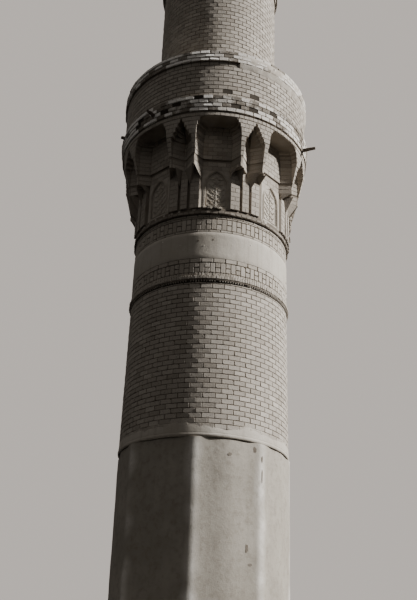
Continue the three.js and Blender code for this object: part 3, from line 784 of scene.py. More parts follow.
def spandrel_courses(bay):
    """The tier's round face between a wide niche and the narrow ones on both sides of it."""
    places = []
    for row, z in enumerate(TIER_ROWS):
        radius = tier_radius(z)
        wide = mouth_distance(wide_half, z)
        narrow = mouth_distance(narrow_half, z)
        inner = math.degrees(math.atan2(wide_half(wide, z), wide))
        outer = BAY_PERIOD / 2 - math.degrees(math.atan2(narrow_half(narrow, z), narrow))
        run = math.radians(outer - inner) * radius
        joints = joints_along(run, SPANDREL_PITCH, row % 2 == 1 and run > 0.2)
        for left, right in zip(joints, joints[1:]):
            angle = inner + math.degrees((left + right) / 2 / radius)
            for side in (-1, 1):
                azimuth = bay + side * angle
                stretch = max(right - left - SPANDREL_JOINT, 0.02) / (TIER_PITCH - JOINT)
                places.append(place(around(radius, azimuth, z), azimuth, stretch, lean=tier_lean(z),
                                    tone=0.9))
    return places


bays = [BAY_TURN + number * BAY_PERIOD for number in range(BAYS)]
tier_places = []
for bay in bays:
    tier_places += niche_courses(wide_half, WIDE_NICHE, WIDE_FOOT, bay)
    tier_places += niche_courses(narrow_half, NARROW_NICHE, NARROW_FOOT, bay + BAY_PERIOD / 2)
    tier_places += spandrel_courses(bay)
lay("upper_muqarnas_bricks", "brick", tier_places, TIER_PITCH - JOINT, TIER_COURSE - JOINT,
    MUQARNAS_BRICK, 51, proud=0.005, wear=0.35)

# Small light bricks on end, under the gallery's foot
HEADERS = 126
HEADER_Z = 13.085
lay("header_ring", "brick", ring(tier_radius(HEADER_Z + 0.005), HEADER_Z, HEADERS, lean=2.5),
    brick_length(TIER_TOP_RADIUS, HEADERS) + 0.004, 0.074, BAND_BRICK, 52, proud=0.012)

# Lower tier: groups of three strips, each strip one or two bricks wide
STRIP_COURSES = 9
STRIP_COURSE = (UPPER_TIER_Z - LOWER_TIER_Z) / STRIP_COURSES
STRIP_JOINT = 0.008
SIDE_STRIP_TURN = 7.7
MIDDLE_GROUP_TURN = -1.6
SIDE_STRIP_WIDTH = 0.200
MIDDLE_STRIP_WIDTH = 0.152
groups = [bay + BAY_PERIOD / 2 + (0.0 if number % 2 else MIDDLE_GROUP_TURN)
          for number, bay in enumerate(bays)]


def strip_courses(angle, width):
    radius = STRIP_RADIUS * math.cos(width / 2 / STRIP_RADIUS)
    share = width / SIDE_STRIP_WIDTH
    places = []
    for row in range(STRIP_COURSES):
        z = LOWER_TIER_Z + (row + 0.5) * STRIP_COURSE
        if row % 2:
            places.append(place(around(radius, angle, z), angle, share))
            continue
        for side in (-0.25, 0.25):
            places.append(place(beside(angle, side * width, radius, z), angle, 0.47 * share))
    return places


strip_places = []
for group in groups:
    strip_places += strip_courses(group, MIDDLE_STRIP_WIDTH)
    for turn in (-SIDE_STRIP_TURN, SIDE_STRIP_TURN):
        strip_places += strip_courses(group + turn, SIDE_STRIP_WIDTH)
lay("muqarnas_strip_bricks", "brick", strip_places, SIDE_STRIP_WIDTH - STRIP_JOINT,
    STRIP_COURSE - STRIP_JOINT, MUQARNAS_BRICK, 53, proud=0.005, wear=0.3)


# Lower panels: a plaster coat with a shallow arched recess
PANEL_COAT = 0.006
RECESS_DEPTH = 0.018
PANEL_HALF = PANEL_RADIUS * math.sin(math.radians(PANEL_HALF_ANGLE)) - 0.004
ARCH_CURVE = (ARCH_HALF_WIDTH ** 2 + (ARCH_APEX_Z - ARCH_SPRING_Z) ** 2) / (2 * ARCH_HALF_WIDTH)
COAT_FACE = PANEL_FACE + PANEL_COAT
RECESS_FACE = COAT_FACE - RECESS_DEPTH


def arch_half(z, outside=0.0):
    """Half width of the pointed recess, or of a curve a little outside it."""
    if z <= ARCH_SPRING_Z:
        return ARCH_HALF_WIDTH + outside
    reach = (ARCH_CURVE + outside) ** 2 - (z - ARCH_SPRING_Z) ** 2
    return max(ARCH_HALF_WIDTH - ARCH_CURVE + math.sqrt(max(reach, 0.0)), 0.0)


def arch_apex(outside):
    rise = (ARCH_CURVE + outside) ** 2 - (ARCH_CURVE - ARCH_HALF_WIDTH) ** 2
    return ARCH_SPRING_Z + math.sqrt(rise)


def panel_coat(bay):
    levels = [(LOWER_TIER_Z + 0.001, ARCH_HALF_WIDTH, 0.0), (ARCH_FOOT_Z, ARCH_HALF_WIDTH, 0.0)]
    levels += [(z, ARCH_HALF_WIDTH, RECESS_DEPTH) for z in curve_steps(ARCH_FOOT_Z, ARCH_SPRING_Z, 4)]
    levels += [(z, arch_half(z), RECESS_DEPTH) for z in curve_steps(ARCH_SPRING_Z, ARCH_APEX_Z, 10)[1:-1]]
    levels += [(ARCH_APEX_Z, 0.0, RECESS_DEPTH), (ARCH_APEX_Z, 0.0, 0.0), (UPPER_TIER_Z - 0.002, 0.0, 0.0)]
    points, faces = [], []
    for z, half, depth in levels:
        columns = [(-PANEL_HALF, 0.0), (-half, 0.0), (-half, depth),
                   (half, depth), (half, 0.0), (PANEL_HALF, 0.0)]
        points += [beside(bay, across, COAT_FACE - back, z) for across, back in columns]
        points += [beside(bay, across, PANEL_FACE - 0.020, z) for across, back in columns]
    for row in range(len(levels) - 1):
        low, high = row * 12, row * 12 + 12
        for k in range(5):
            faces.append((low + k, low + k + 1, high + k + 1, high + k))
            faces.append((high + 6 + k, high + 7 + k, low + 7 + k, low + 6 + k))
        faces.append((low + 6, low, high, high + 6))
        faces.append((low + 5, low + 11, high + 11, high + 5))
    for row in (0, 12 * (len(levels) - 1)):
        faces += [(row + k, row + 6 + k, row + 7 + k, row + 1 + k) for k in range(5)]
    return points, faces


# Raised work on the panels: a double rib round each arch, and two twining stems with leaves inside it
RIB_WIDTH = 0.013
BORDER_WIDTH = 0.014
BORDER_INSET = 0.030
RIB_HEIGHT = 0.009
STEM_WIDTH = 0.015
STEM_HEIGHT = 0.010
LEAF_HEIGHT = 0.012
LEAF_SHAPE = (0.1, 0.75, 1.0, 0.7, 0.1)
STEM_WAVE = 0.264
STEM_FOOT_Z = ARCH_FOOT_Z + 0.045
STEM_TOP_Z = STEM_FOOT_Z + 2.5 * STEM_WAVE


def raised_line(bay, path, width, height, base, shape=None):
    """A raised moulding with sloping flanks along a path of (across, z); shape holds its width's shares."""
    points = []
    for k, (across, z) in enumerate(path):
        before, after = path[max(k - 1, 0)], path[min(k + 1, len(path) - 1)]
        run = math.hypot(after[0] - before[0], after[1] - before[1])
        side = ((after[1] - before[1]) / run, (before[0] - after[0]) / run)
        for share, rise in ((-0.5, -0.004), (-0.25, height), (0.25, height), (0.5, -0.004)):
            reach = width * (shape[k] if shape else 1.0) * share
            points.append(beside(bay, across + side[0] * reach, base + rise, z + side[1] * reach))
    return points, tube(4, len(path))


def arch_line(outside, foot):
    apex = arch_apex(outside)
    left = [(-arch_half(z, outside), z) for z in curve_steps(foot, ARCH_SPRING_Z, 3)]
    left += [(-arch_half(z, outside), z) for z in curve_steps(ARCH_SPRING_Z, apex, 8)[1:-1]]
    return left + [(0.0, apex)] + [(-across, z) for across, z in reversed(left)]


def leaf(bay, across, z, length, width, turn):
    """A raised almond-shaped leaf, bent a little to one side."""
    heading = math.radians(turn)
    path = []
    for k in range(5):
        along = length * (k / 4 - 0.5)
        bend = 0.25 * length * (1 - (k / 2 - 1) ** 2) * ((turn > 0) - (turn < 0))
        path.append((across + along * math.sin(heading) + bend * math.cos(heading),
                     z + along * math.cos(heading) - bend * math.sin(heading)))
    return raised_line(bay, path, width, LEAF_HEIGHT, RECESS_FACE, LEAF_SHAPE)


def stem_reach(z):
    return min(0.105, arch_half(z) - 0.085) * math.sin(2 * math.pi * (z - STEM_FOOT_Z) / STEM_WAVE)


def panel_relief(bay):
    rib_foot = ARCH_FOOT_Z - BORDER_INSET
    shapes = [raised_line(bay, arch_line(outside, rib_foot), RIB_WIDTH, RIB_HEIGHT, COAT_FACE)
              for outside in (0.012, 0.034)]
    border_z = ARCH_FOOT_Z + BORDER_INSET
    for path in (arch_line(-BORDER_INSET, border_z), [(-0.19, border_z), (0.0, border_z), (0.19, border_z)]):
        shapes.append(raised_line(bay, path, BORDER_WIDTH, RIB_HEIGHT, RECESS_FACE))
    for side in (-1, 1):
        path = [(side * stem_reach(z), z) for z in curve_steps(STEM_FOOT_Z, STEM_TOP_Z, 40)]
        shapes.append(raised_line(bay, path, STEM_WIDTH, STEM_HEIGHT, RECESS_FACE))
    for half_wave in range(5):
        crossing = STEM_FOOT_Z + half_wave * STEM_WAVE / 2
        middle = crossing + STEM_WAVE / 4
        room = arch_half(middle)
        shapes += [leaf(bay, 0.0, crossing, 0.050, 0.034, 0), leaf(bay, 0.0, middle, 0.075, 0.036, 0)]
        for side in (-1, 1):
            shapes.append(leaf(bay, side * 0.62 * min(room, 0.2), middle + 0.045, 0.065, 0.026, side * 40))
            shapes.append(leaf(bay, side * 0.30 * room, middle + 0.030, 0.050, 0.022, side * -35))
            if room > 0.2:
                shapes.append(leaf(bay, side * 0.145, crossing, 0.070, 0.028, side * 60))
    shapes.append(leaf(bay, 0.0, STEM_TOP_Z + 0.045, 0.090, 0.044, 0))
    return shapes


relief = [shape for bay in bays for shape in panel_relief(bay)]
make_piece("panel_plaster_coats", "brick", *joined([panel_coat(bay) for bay in bays]), CARVED_PLASTER)
make_piece("panel_relief", "brick", *joined(relief), CARVED_PLASTER)


# Pendants over the gaps between the strips: left end, tip, ridge and right end in degrees from the group's
# middle, and the tip's height
PENDANTS = [(-7.7, -3.4, -4.1, -2.2, 11.600), (0.0, 4.0, 7.0, 7.7, 11.620),
            (-12.1, -11.2, -8.4, -7.7, 11.820)]
OUTER_PENDANTS = [(7.7, 11.2, 11.9, 12.1, 11.800), (6.4, 11.9, 8.2, 12.4, 11.740)]
PENDANT_WALL = 1.660
PENDANT_FACE = 1.747
PENDANT_RIDGE = 1.940
PENDANT_TIP = 1.742


def pendant(group, left, tip, ridge, right, tip_z):
    top = UPPER_TIER_Z + 0.004
    corners = [(PENDANT_FACE, left, top), (PENDANT_RIDGE, ridge, top), (PENDANT_FACE, right, top),
               (PENDANT_WALL, right, top), (PENDANT_WALL, left, top), (PENDANT_TIP, tip, tip_z),
               (PENDANT_WALL, tip, tip_z)]
    faces = [(0, 1, 2, 3, 4), (0, 5, 1), (1, 5, 2), (2, 5, 6, 3), (4, 6, 5, 0), (3, 6, 4)]
    return [around(radius, group + turn, z) for radius, turn, z in corners], faces


pendants = []
for number, group in enumerate(groups):
    pendants += [pendant(group, *shape) for shape in PENDANTS + [OUTER_PENDANTS[number % 2]]]
make_piece("muqarnas_pendants", "brick", *joined(pendants), MUQARNAS_BRICK)


# Gallery: limed fascia with lost bricks, parapet inside and out, limed coping, paved walkway
FASCIA_BRICKS = 68
FASCIA_COURSES = 4
FASCIA_BRICK_HEIGHT = 0.082
PARAPET_BRICKS = 65
PARAPET_COURSES = 9
PARAPET_BRICK_HEIGHT = (COPING_Z - GALLERY_FLOOR_Z) / PARAPET_COURSES - JOINT
INNER_BRICKS = 60
COPING_BRICKS = 66
COPING_COURSES = 3
COPING_BRICK_HEIGHT = 0.082
COPING_TOP_RADIUS = 2.020
COPING_TOP_BRICKS = 120
COPING_TOP_DEPTH = 0.208
PAVING_RADII = (1.447, 1.549, 1.651, 1.753, 1.855)
PAVING_PITCH = 0.21
PAVING_BRICK = (0.196, 0.090)

# Bearing and height of each lost brick, and how near a place has to be
LOST_BRICKS = [(6.1, 13.67), (13.7, 13.30), (22.1, 13.28), (34.5, 13.36), (26.3, 13.65), (-22.0, 13.40),
               (-31.0, 13.30), (-8.0, 13.45), (-48.0, 13.34), (95.0, 13.40), (150.0, 13.28), (205.0, 13.44)]
LOST_REACH = (2.7, 0.052)
# Bearings of the side in shade, where the limed bricks are painted near white as painted light
SHADED_SIDE = (-175, 2)


def limed_with_painted_light(places, seed):
    """Lime over runs of bricks, with some left bare. On the shaded left side the coated bricks lean back
    where the face has slumped and are painted near white, which is painted light; on the sunny right side
    they keep the plain coat colour."""
    chance = random.Random(seed)
    coated = []
    for position, turn, size, tone in places:
        if noise.noise(position * 2.6) + chance.uniform(-0.2, 0.2) < -0.10:
            coated.append((position, turn, size, chance.uniform(0.0, 0.06)))
            continue
        # On the shaded side: a slumped, leaning face and a near-white tone, which is painted light
        if SHADED_SIDE[0] < bearing(position) < SHADED_SIDE[1]:
            lean, twist = chance.uniform(8, 18), chance.uniform(-1, 4)
            size, tone = (size[0] * 1.03, 1.0, 1.10), chance.uniform(0.9, 1.0)
        else:
            lean, twist = chance.uniform(0, 5), 0.0
            size, tone = (size[0], 1.0, 1.06), chance.uniform(0.45, 0.65)
        facing = (turn[0] - math.radians(lean), turn[1], turn[2] + math.radians(twist))
        coated.append((position, facing, size, tone))
    return coated


def is_lost(spot):
    position = spot[0]
    return any(abs((bearing(position) - angle + 180) % 360 - 180) < LOST_REACH[0]
               and abs(position.z - z) < LOST_REACH[1] for angle, z in LOST_BRICKS)


def hole_cores(name, slot, places, length, height, seed):
    """The rough core that shows where bricks are lost; its dark colour is partly the core's own and partly
    painted shade of the hole.
    """
    lay(name, slot, [spot for spot in places if is_lost(spot)], length + 0.010, height, PAINTED_SHADE_CORE, seed,
        proud=0.003, wear=0.8)


def still_there(places):
    return [spot for spot in places if not is_lost(spot)]


fascia_places = round_wall(GALLERY_SOFFIT_Z, GALLERY_FLOOR_Z, FASCIA_COURSES, FASCIA_BRICKS, fascia_radius,
                           lean=6.1)
fascia_length = brick_length(FASCIA_RADIUS, FASCIA_BRICKS)
lay("gallery_fascia_bricks", "pale_brick", limed_with_painted_light(still_there(fascia_places), 60), fascia_length,
    FASCIA_BRICK_HEIGHT, LIMED_BRICK_WITH_PAINTED_LIGHT, 61, proud=0.014, wear=0.5, lost=0.02)
hole_cores("fascia_hole_cores", "pale_brick", fascia_places, fascia_length, FASCIA_BRICK_HEIGHT + 0.010, 68)
parapet_places = round_wall(GALLERY_FLOOR_Z, COPING_Z, PARAPET_COURSES, PARAPET_BRICKS,
                            lambda z: PARAPET_RADIUS)
parapet_length = brick_length(PARAPET_RADIUS, PARAPET_BRICKS)
lay("parapet_bricks", "brick", still_there(parapet_places), parapet_length, PARAPET_BRICK_HEIGHT,
    SHAFT_BRICK, 62, lost=0.004)
hole_cores("parapet_hole_cores", "brick", parapet_places, parapet_length, PARAPET_BRICK_HEIGHT + 0.012, 69)
inner_length = brick_length(PARAPET_INNER_RADIUS, INNER_BRICKS)


def inner_places(low, high, courses):
    return round_wall(low, high, courses, INNER_BRICKS, lambda z: PARAPET_INNER_RADIUS, inwards=True)


lay("parapet_inner_bricks", "brick", inner_places(GALLERY_FLOOR_Z, COPING_Z, PARAPET_COURSES),
    inner_length, PARAPET_BRICK_HEIGHT, SHAFT_BRICK, 63)
coping_places = round_wall(COPING_Z, PARAPET_TOP_Z, COPING_COURSES, COPING_BRICKS, lambda z: COPING_RADIUS)
lay("coping_bricks", "pale_brick", limed_with_painted_light(coping_places, 59), brick_length(COPING_RADIUS, COPING_BRICKS),
    COPING_BRICK_HEIGHT, LIMED_BRICK_WITH_PAINTED_LIGHT, 64, proud=0.012, wear=0.6, lost=0.01)
lay("coping_inner_bricks", "pale_brick", inner_places(COPING_Z, PARAPET_TOP_Z, COPING_COURSES),
    inner_length, COPING_BRICK_HEIGHT, LIMED_BRICK_WITH_PAINTED_LIGHT, 65, proud=0.012, wear=0.6)
lay("coping_top_bricks", "pale_brick", ring(COPING_TOP_RADIUS, PARAPET_TOP_Z, COPING_TOP_BRICKS, lean=-90),
    brick_length(COPING_TOP_RADIUS, COPING_TOP_BRICKS), COPING_TOP_DEPTH, LIMED_BRICK_WITH_PAINTED_LIGHT, 66, proud=0.012,
    wear=0.6)
paving = []
for number, radius in enumerate(PAVING_RADII):
    count = round(2 * math.pi * radius / PAVING_PITCH)
    paving += ring(radius, GALLERY_FLOOR_Z, count, 0.5 * (number % 2), lean=-90)
lay("walkway_paving", "brick", paving, *PAVING_BRICK, SHAFT_BRICK, 67, proud=0.006, wear=0.5)


# Upper shaft, its cornice and the doorway to the gallery
UPPER_BRICKS = 43
UPPER_COURSES = 41
CORNICE_BRICKS = 84
CORNICE_RADIUS = 1.43
CORNICE_BRICK_HEIGHT = 0.136
CORNICE_STEPS = ((CORNICE_Z, CORNICE_STEP_Z, 0.0375), (CORNICE_STEP_Z, UPPER_SHAFT_TOP_Z, 0.075))
DOOR_CLEARANCE = 0.390
DOOR_TOP_Z = GALLERY_FLOOR_Z + 1.800


def clear_of_door(spot):
    position = spot[0]
    return position.y < 0 or abs(position.x) > DOOR_CLEARANCE or position.z > DOOR_TOP_Z


upper_places = round_wall(GALLERY_FLOOR_Z, CORNICE_Z, UPPER_COURSES, UPPER_BRICKS, upper_radius)
lay("upper_shaft_bricks", "brick", [spot for spot in upper_places if clear_of_door(spot)],
    brick_length(UPPER_FOOT_RADIUS, UPPER_BRICKS), (CORNICE_Z - GALLERY_FLOOR_Z) / UPPER_COURSES - JOINT,
    SHAFT_BRICK, 71)
cornice = []
for low, high, reach in CORNICE_STEPS:
    cornice += round_wall(low, high, 1, CORNICE_BRICKS, lambda z: upper_radius(z) + reach)
lay("cornice_bricks", "brick", cornice, brick_length(CORNICE_RADIUS, CORNICE_BRICKS), CORNICE_BRICK_HEIGHT,
    BAND_BRICK, 72, wear=0.4)

# Plain plaster band, the rounded ledge at the shaft's foot, and the dome
BAND_COAT = 0.020
ROLL_RADIUS = 0.044
ROLL_REACH = 0.028
DOME_FOOT_RADIUS = UPPER_TOP_RADIUS - 0.030
DOME_HEIGHT = 1.500
DOME_THICKNESS = 0.200

band_face = [(shaft_radius(z) + BAND_COAT, z)
             for z in curve_steps(PLASTER_BAND_Z + 0.006, PLASTER_BAND_TOP_Z - 0.006, 7)]
turned_piece("smooth_plaster_band", "lime_plaster",
             [(SHAFT_TOP_RADIUS - 0.020, PLASTER_BAND_Z), (SHAFT_TOP_RADIUS + 0.030, PLASTER_BAND_Z),
              *band_face, (SHAFT_TOP_RADIUS + 0.020, PLASTER_BAND_TOP_Z),
              (SHAFT_TOP_RADIUS - 0.020, PLASTER_BAND_TOP_Z)],
             LIME_PLASTER, uneven=0.004, replaced=("plaster_band",))
roll = []
for k in range(9):
    turn = math.radians(-90 + 180 * k / 8)
    roll.append((SHAFT_FOOT_RADIUS - 0.004 + ROLL_REACH * math.cos(turn),
                 LEDGE_Z + ROLL_RADIUS + ROLL_RADIUS * math.sin(turn)))
turned_piece("rounded_ledge", "lime_plaster",
             [(SHAFT_FOOT_RADIUS - 0.030, LEDGE_Z), *roll,
              (SHAFT_FOOT_RADIUS - 0.030, LEDGE_Z + 2 * ROLL_RADIUS)],
             LIME_PLASTER, uneven=0.006, replaced=("shaft_foot_ledge",))


def dome_curve(radius, height):
    turns = [math.radians(90 * k / 20) for k in range(21)]
    curve = [(radius * math.cos(turn), UPPER_SHAFT_TOP_Z + height * math.sin(turn)) for turn in turns]
    return curve[:-1] + [(0.0, UPPER_SHAFT_TOP_Z + height)]


dome_inside = dome_curve(DOME_FOOT_RADIUS - DOME_THICKNESS, DOME_HEIGHT - DOME_THICKNESS)
turned_piece("plastered_dome", "lime_plaster", dome_curve(DOME_FOOT_RADIUS, DOME_HEIGHT) + dome_inside[::-1],
             LIME_PLASTER, segments=96, uneven=0.012, replaced=("dome",))


# Plaster smeared over the lowest courses of the shaft, thinning out along a ragged edge
SMEAR_Z = LEDGE_Z + 0.080
SMEAR_HEIGHT = 0.20
SMEAR_RAGGED = 0.12
SMEAR_THICKNESS = 0.018


def smear_outline(angle):
    ragged = noise.noise(around(2.2, angle, 0.0)) + 0.5 * noise.noise(around(9.0, angle, 1.0))
    height = SMEAR_HEIGHT + SMEAR_RAGGED * ragged
    face = []
    for share in (0.0, 0.3, 0.6, 0.85, 1.0):
        z = SMEAR_Z + height * share
        face.append((shaft_radius(z) + SMEAR_THICKNESS * (1 - share ** 2) - 0.001, z))
    return [(SHAFT_FOOT_RADIUS - 0.010, SMEAR_Z), *face, (SHAFT_FOOT_RADIUS - 0.020, SMEAR_Z + height)]


turned_piece("smeared_foot", "lime_plaster", smear_outline, LIME_PLASTER, segments=220, smooth_below=50.0)


# Flaked spots and light specks on the plaster band: angle, height, half width, half height
BAND_FLAKES = [(-7.0, 10.28, 0.016, 0.024), (3.5, 10.31, 0.008, 0.022), (78.0, 10.05, 0.030, 0.020),
               (140.0, 10.30, 0.040, 0.025), (221.0, 10.00, 0.030, 0.030)]
BAND_SPECKS = [(-34.3, 10.39, 0.022, 0.014), (-2.8, 10.16, 0.012, 0.012), (-20.0, 10.22, 0.010, 0.008),
               (31.0, 10.33, 0.012, 0.010), (160.0, 10.20, 0.014, 0.012)]
FLAKE_SIDES = 14
FLAKE_PROUD = 0.004
MEAN_WALL_RADIUS = 1.7


def flake(angle, z, half_width, half_height, chance, distance_at):
    """A ragged patch that lies just over a face; distance_at gives the face's distance from the axis."""
    rim = []
    for k in range(FLAKE_SIDES):
        turn = 2 * math.pi * k / FLAKE_SIDES
        reach = chance.uniform(0.7, 1.1)
        rim.append((half_width * reach * math.cos(turn), half_height * reach * math.sin(turn)))
    points = []
    for proud, grow in ((-0.02, 1.0), (FLAKE_PROUD, 1.0), (FLAKE_PROUD, 0.8)):
        for across, up in rim:
            turned = angle + math.degrees(across * grow / MEAN_WALL_RADIUS)
            points.append(around(distance_at(turned, z + up * grow) + proud, turned, z + up * grow))
    return points, tube(FLAKE_SIDES, 3)


def band_distance(angle, z):
    return shaft_radius(z) + BAND_COAT + 0.001


flaking = random.Random(83)
flakes = [flake(*spot, flaking, band_distance) for spot in BAND_FLAKES]
specks = [flake(*spot, flaking, band_distance) for spot in BAND_SPECKS]
make_piece("plaster_band_flakes", "lime_plaster", *joined(flakes), MORTAR)
make_piece("plaster_band_specks", "lime_plaster", *joined(specks), FRESH_LIME)


# Mud plaster over the octagonal plinth, in one skin with soft corners and an uneven face
PLINTH_APOTHEM = 1.625
PLINTH_CORNER_RADIUS = 0.260
PLINTH_TURN = 18.5
PLINTH_SIDES = 8
HALF_SIDE = 180 / PLINTH_SIDES
PLINTH_CORNER_START = (PLINTH_APOTHEM - PLINTH_CORNER_RADIUS) * math.tan(math.radians(HALF_SIDE))
plinth_bow = profile((0.0, 0.020), (5.300, 0.022), (5.750, 0.038), (LEDGE_Z, 0.062))
ENTRANCE_SIDE = 4
ENTRANCE_HALF_WIDTH = 0.400
ENTRANCE_HEIGHT = 2.050
SKIN_THICKNESS = 0.012
SKIN_BOW = 0.028
RUB_AND_HIGHLIGHT_ANGLE = 6.5


def middle_share(across):
    """1 in the middle of a side of the plinth, and 0 where its corners start to bend."""
    return math.cos(math.radians(90) * min(abs(across) / PLINTH_CORNER_START, 1.0)) ** 2


def skin_lift(here, across, z):
    """How far the plaster's face stands off the solid wall: thickest along the middle of a side."""
    swell = 0.008 * noise.noise(here * 1.1) + 0.003 * noise.noise(here * 5.0)
    return SKIN_THICKNESS + swell + SKIN_BOW * middle_share(across) * min(1.0, (LEDGE_Z - z) / 0.6)


def side_offset(angle):
    """How many degrees a bearing lies from the middle of its side of the plinth."""
    return (angle - PLINTH_TURN + HALF_SIDE) % (2 * HALF_SIDE) - HALF_SIDE


def plinth_side_points():
    """Half a corner, one side and the other half corner, as (across, distance, turn of the face)."""
    flat = [-PLINTH_CORNER_START, -ENTRANCE_HALF_WIDTH, -0.27, -0.135, 0.0, 0.135, 0.27,
            ENTRANCE_HALF_WIDTH, PLINTH_CORNER_START]
    points = [(across, PLINTH_APOTHEM, 0.0) for across in flat]
    for k in range(1, 4):
        turn = math.radians(HALF_SIDE * k / 4)
        across = PLINTH_CORNER_START + PLINTH_CORNER_RADIUS * math.sin(turn)
        distance = PLINTH_APOTHEM - PLINTH_CORNER_RADIUS * (1 - math.cos(turn))
        points.append((across, distance, math.degrees(turn)))
        points.insert(0, (-across, distance, -math.degrees(turn)))
    return points


def plinth_skin():
    levels = curve_steps(0.0, ENTRANCE_HEIGHT, 16) + curve_steps(ENTRANCE_HEIGHT, LEDGE_Z, 34)[1:]
    columns = [(PLINTH_TURN + side * 360 / PLINTH_SIDES, side, *point)
               for side in range(PLINTH_SIDES) for point in plinth_side_points()]
    points = []
    for layer in (1, -1):
        for z in levels:
            for angle, side, across, distance, turn in columns:
                here = beside(angle, across, distance + plinth_bow(z) * middle_share(across), z)
                lift = skin_lift(here, across, z) if layer > 0 else -SKIN_THICKNESS / 2
                points.append(here + around(lift, angle + turn, 0.0))
    count = len(columns)
    inner = len(levels) * count
    kept = set()
    for row in range(len(levels) - 1):
        for k, (angle, side, across, distance, turn) in enumerate(columns):
            in_doorway = (side == ENTRANCE_SIDE and turn == 0.0
                          and -ENTRANCE_HALF_WIDTH <= across < ENTRANCE_HALF_WIDTH
                          and levels[row] < ENTRANCE_HEIGHT - 0.001)
            if not in_doorway:
                kept.add((row, k))
    faces = []
    for row, k in sorted(kept):
        a, b = row * count + k, row * count + (k + 1) % count
        over_a, over_b = a + count, b + count
        faces.append((a, b, over_b, over_a))
        faces.append((inner + over_a, inner + over_b, inner + b, inner + a))
        edges = {(row - 1, k): (inner + a, inner + b, b, a),
                 (row + 1, k): (over_a, over_b, inner + over_b, inner + over_a),
                 (row, (k - 1) % count): (a, over_a, inner + over_a, inner + a),
                 (row, (k + 1) % count): (over_b, b, inner + b, inner + over_b)}
        faces += [face for neighbour, face in edges.items() if neighbour not in kept]
    skin = make_piece("plinth_mud_skin", "mud_plaster", points, faces, MUD_PLASTER, 60.0)
    # Paler towards every corner of the plinth: partly rubbing, partly a painted highlight
    rub = skin.data.attributes.new("rub", "FLOAT", "POINT").data
    for vertex in skin.data.vertices:
        from_corner = HALF_SIDE - abs(side_offset(bearing(vertex.co)))
        wear = 0.75 + 0.9 * noise.noise(vertex.co * 2.5)
        rub[vertex.index].value = max(0.0, 1.0 - from_corner / RUB_AND_HIGHLIGHT_ANGLE) * wear


plinth_skin()

# Chips in the mud plaster that bare its darker first coat: angle, height, half width, half height
PLINTH_CHIPS = [(18.8, 5.84, 0.045, 0.035), (35.9, 5.99, 0.040, 0.060), (40.9, 5.83, 0.018, 0.070),
                (41.1, 5.52, 0.012, 0.160), (31.4, 4.15, 0.030, 0.090), (33.7, 3.87, 0.040, 0.030),
                (152.0, 3.4, 0.060, 0.040), (240.0, 2.6, 0.050, 0.070)]


def skin_distance(angle, z):
    """How far the plaster's face is from the axis in one direction."""
    offset = math.radians(side_offset(angle))
    across = PLINTH_APOTHEM * math.tan(offset)
    if abs(across) <= PLINTH_CORNER_START:
        distance = (PLINTH_APOTHEM + plinth_bow(z) * middle_share(across)) / math.cos(offset)
    else:
        aside = math.radians(HALF_SIDE) - abs(offset)
        center = (PLINTH_APOTHEM - PLINTH_CORNER_RADIUS) / math.cos(math.radians(HALF_SIDE))
        reach = math.sqrt(PLINTH_CORNER_RADIUS ** 2 - (center * math.sin(aside)) ** 2)
        distance = center * math.cos(aside) + reach
    return distance + skin_lift(around(distance, angle, z), across, z)


chipping = random.Random(81)
chips = [flake(*spot, chipping, skin_distance) for spot in PLINTH_CHIPS]
make_piece("plinth_chips", "mud_plaster", *joined(chips), MORTAR)

# Lime smeared under and over the coping on its sunny side, where no shadow line is left
LIME_START = 15.2
LIME_END = 118.0
turned_piece("coping_lime_fillet", "pale_brick",
             [(PARAPET_RADIUS - 0.010, COPING_Z - 0.130), (PARAPET_RADIUS + 0.014, COPING_Z - 0.120),
              (COPING_RADIUS + 0.006, COPING_Z - 0.010), (COPING_RADIUS + 0.014, COPING_Z + 0.090),
              (COPING_RADIUS + 0.013, COPING_Z + 0.200), (COPING_RADIUS - 0.012, COPING_Z + 0.240),
              (PARAPET_RADIUS - 0.010, COPING_Z + 0.020)],
             CARVED_PLASTER, LIME_START, LIME_END, 90, uneven=0.012)

# Old scaffold poles, crooked and tapering, left in the wall: stub, angle, height and length
POLES = [("pole_stub_east", 70.3, 13.215, 0.300), ("pole_stub_south_west", -36.56, 13.305, 0.210),
         ("pole_stub_west", -70.3, 13.470, 0.090)]
POLE_RADIUS = 0.042
POLE_BEND = 0.010
POLE_TAPER = 0.25
POLE_KNOTS = 0.10
POLE_RINGS = 9
POLE_SIDES = 12


def crooked_pole(node, angle, z, length):
    points = []
    start = fascia_radius(z) + 0.0005
    longest = POLES[0][3]
    for share in curve_steps(0.0, 1.0, POLE_RINGS - 1):
        bend = POLE_BEND * math.sin(3.0 * share) * length / longest
        center = beside(angle, bend, start + length * share, z + bend)
        for k in range(POLE_SIDES):
            turn = 2 * math.pi * k / POLE_SIDES
            knot = 1 + POLE_KNOTS * noise.noise(Vector((k, 3 * share, angle)))
            radius = POLE_RADIUS * (1.0 - POLE_TAPER * share) * knot
            points.append(center + around(radius * math.cos(turn), angle + 90, radius * math.sin(turn)))
    make_piece(node.replace("stub", "end"), "old_wood", points, tube(POLE_SIDES, POLE_RINGS), POPLAR, 60.0,
               (node,))


for pole in POLES:
    crooked_pole(*pole)

# CAD faces behind the bricks show as joints
FINISHES = [("plinth", MUD_PLASTER), ("entrance", MUD_PLASTER), ("plaster_band", LIME_PLASTER),
            ("shaft_foot_ledge", LIME_PLASTER), ("dome", LIME_PLASTER), ("pole", POPLAR),
            ("gallery_fascia", PALE_MORTAR), ("parapet_coping", PALE_MORTAR), ("lower_muqarnas", PALE_MORTAR),
            ("upper_muqarnas", PALE_MORTAR), ("", MORTAR)]
for name, node in frame["nodes"].items():
    finish = next(finish for start, finish in FINISHES if name.startswith(start))
    node.data.materials.clear()
    node.data.materials.append(finish)

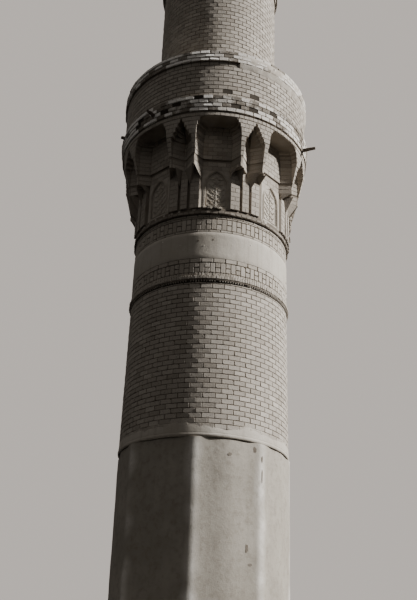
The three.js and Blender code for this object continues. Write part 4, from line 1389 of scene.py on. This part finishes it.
# Pale floor
FLOOR_RADIUS = 3.2
FLOOR_SIDES = 96
floor_rim = [around(FLOOR_RADIUS, 360 * k / FLOOR_SIDES, -0.001) for k in range(FLOOR_SIDES)]
floor_mesh = bpy.data.meshes.new("floor")
floor_mesh.from_pydata(floor_rim, [], [tuple(range(FLOOR_SIDES))])
floor = placed("floor", floor_mesh)
floor_look = bpy.data.materials.new("pale studio floor")
floor_look.use_nodes = True
floor_shader = floor_look.node_tree.nodes["Principled BSDF"]
floor_shader.inputs["Base Color"].default_value = linear("#cfcac2")
floor_shader.inputs["Roughness"].default_value = 0.9
floor_mesh.materials.append(floor_look)

# Low sun from the right
sun_data = bpy.data.lights.new("key light", "SUN")
sun_data.energy = SUN_STRENGTH
sun_data.angle = math.radians(SUN_SOFTNESS)
sun = placed("key light", sun_data)
towards_sun = around(math.cos(math.radians(SUN_HEIGHT)), SUN_ANGLE, math.sin(math.radians(SUN_HEIGHT)))
sun.rotation_euler = towards_sun.to_track_quat("Z", "Y").to_euler()

# Dim fill that is stronger from above, behind a plain backdrop that only the camera sees
world = bpy.data.worlds.new("studio")
world.use_nodes = True
sky = world.node_tree
sky.nodes.clear()
seen = add_node(sky, "ShaderNodeBackground", {"Color": linear("#cdc5be"), "Strength": 1.0})
towards = add_node(sky, "ShaderNodeTexCoord").outputs["Generated"]
height = add_node(sky, "ShaderNodeSeparateXYZ", {"Vector": towards}).outputs["Z"]
limits = {"Value": height, "From Min": -0.05, "From Max": 0.6, "To Min": FILL_BELOW * FILL_STRENGTH,
          "To Max": FILL_ABOVE * FILL_STRENGTH}
overhead = add_node(sky, "ShaderNodeMapRange", limits).outputs["Result"]
fill = add_node(sky, "ShaderNodeBackground", {"Color": linear("#c9c6c4"), "Strength": overhead})
rays = add_node(sky, "ShaderNodeLightPath").outputs["Is Camera Ray"]
either = add_node(sky, "ShaderNodeMixShader", {0: rays, 1: fill.outputs[0], 2: seen.outputs[0]})
add_node(sky, "ShaderNodeOutputWorld", {"Surface": either.outputs[0]})
bpy.context.scene.world = world

# Camera where the photographer stood
camera_data = bpy.data.cameras.new("camera")
camera_data.lens = CAMERA_LENS
camera_data.shift_y = CAMERA_SHIFT_UP
camera = placed("camera", camera_data)
aim = (Matrix.Rotation(math.radians(CAMERA_YAW), 4, "Z")
       @ Matrix.Rotation(math.radians(90 + CAMERA_PITCH), 4, "X")
       @ Matrix.Rotation(math.radians(CAMERA_ROLL), 4, "Z"))
camera.matrix_world = Matrix.Translation(CAMERA_PLACE) @ aim
bpy.context.scene.camera = camera
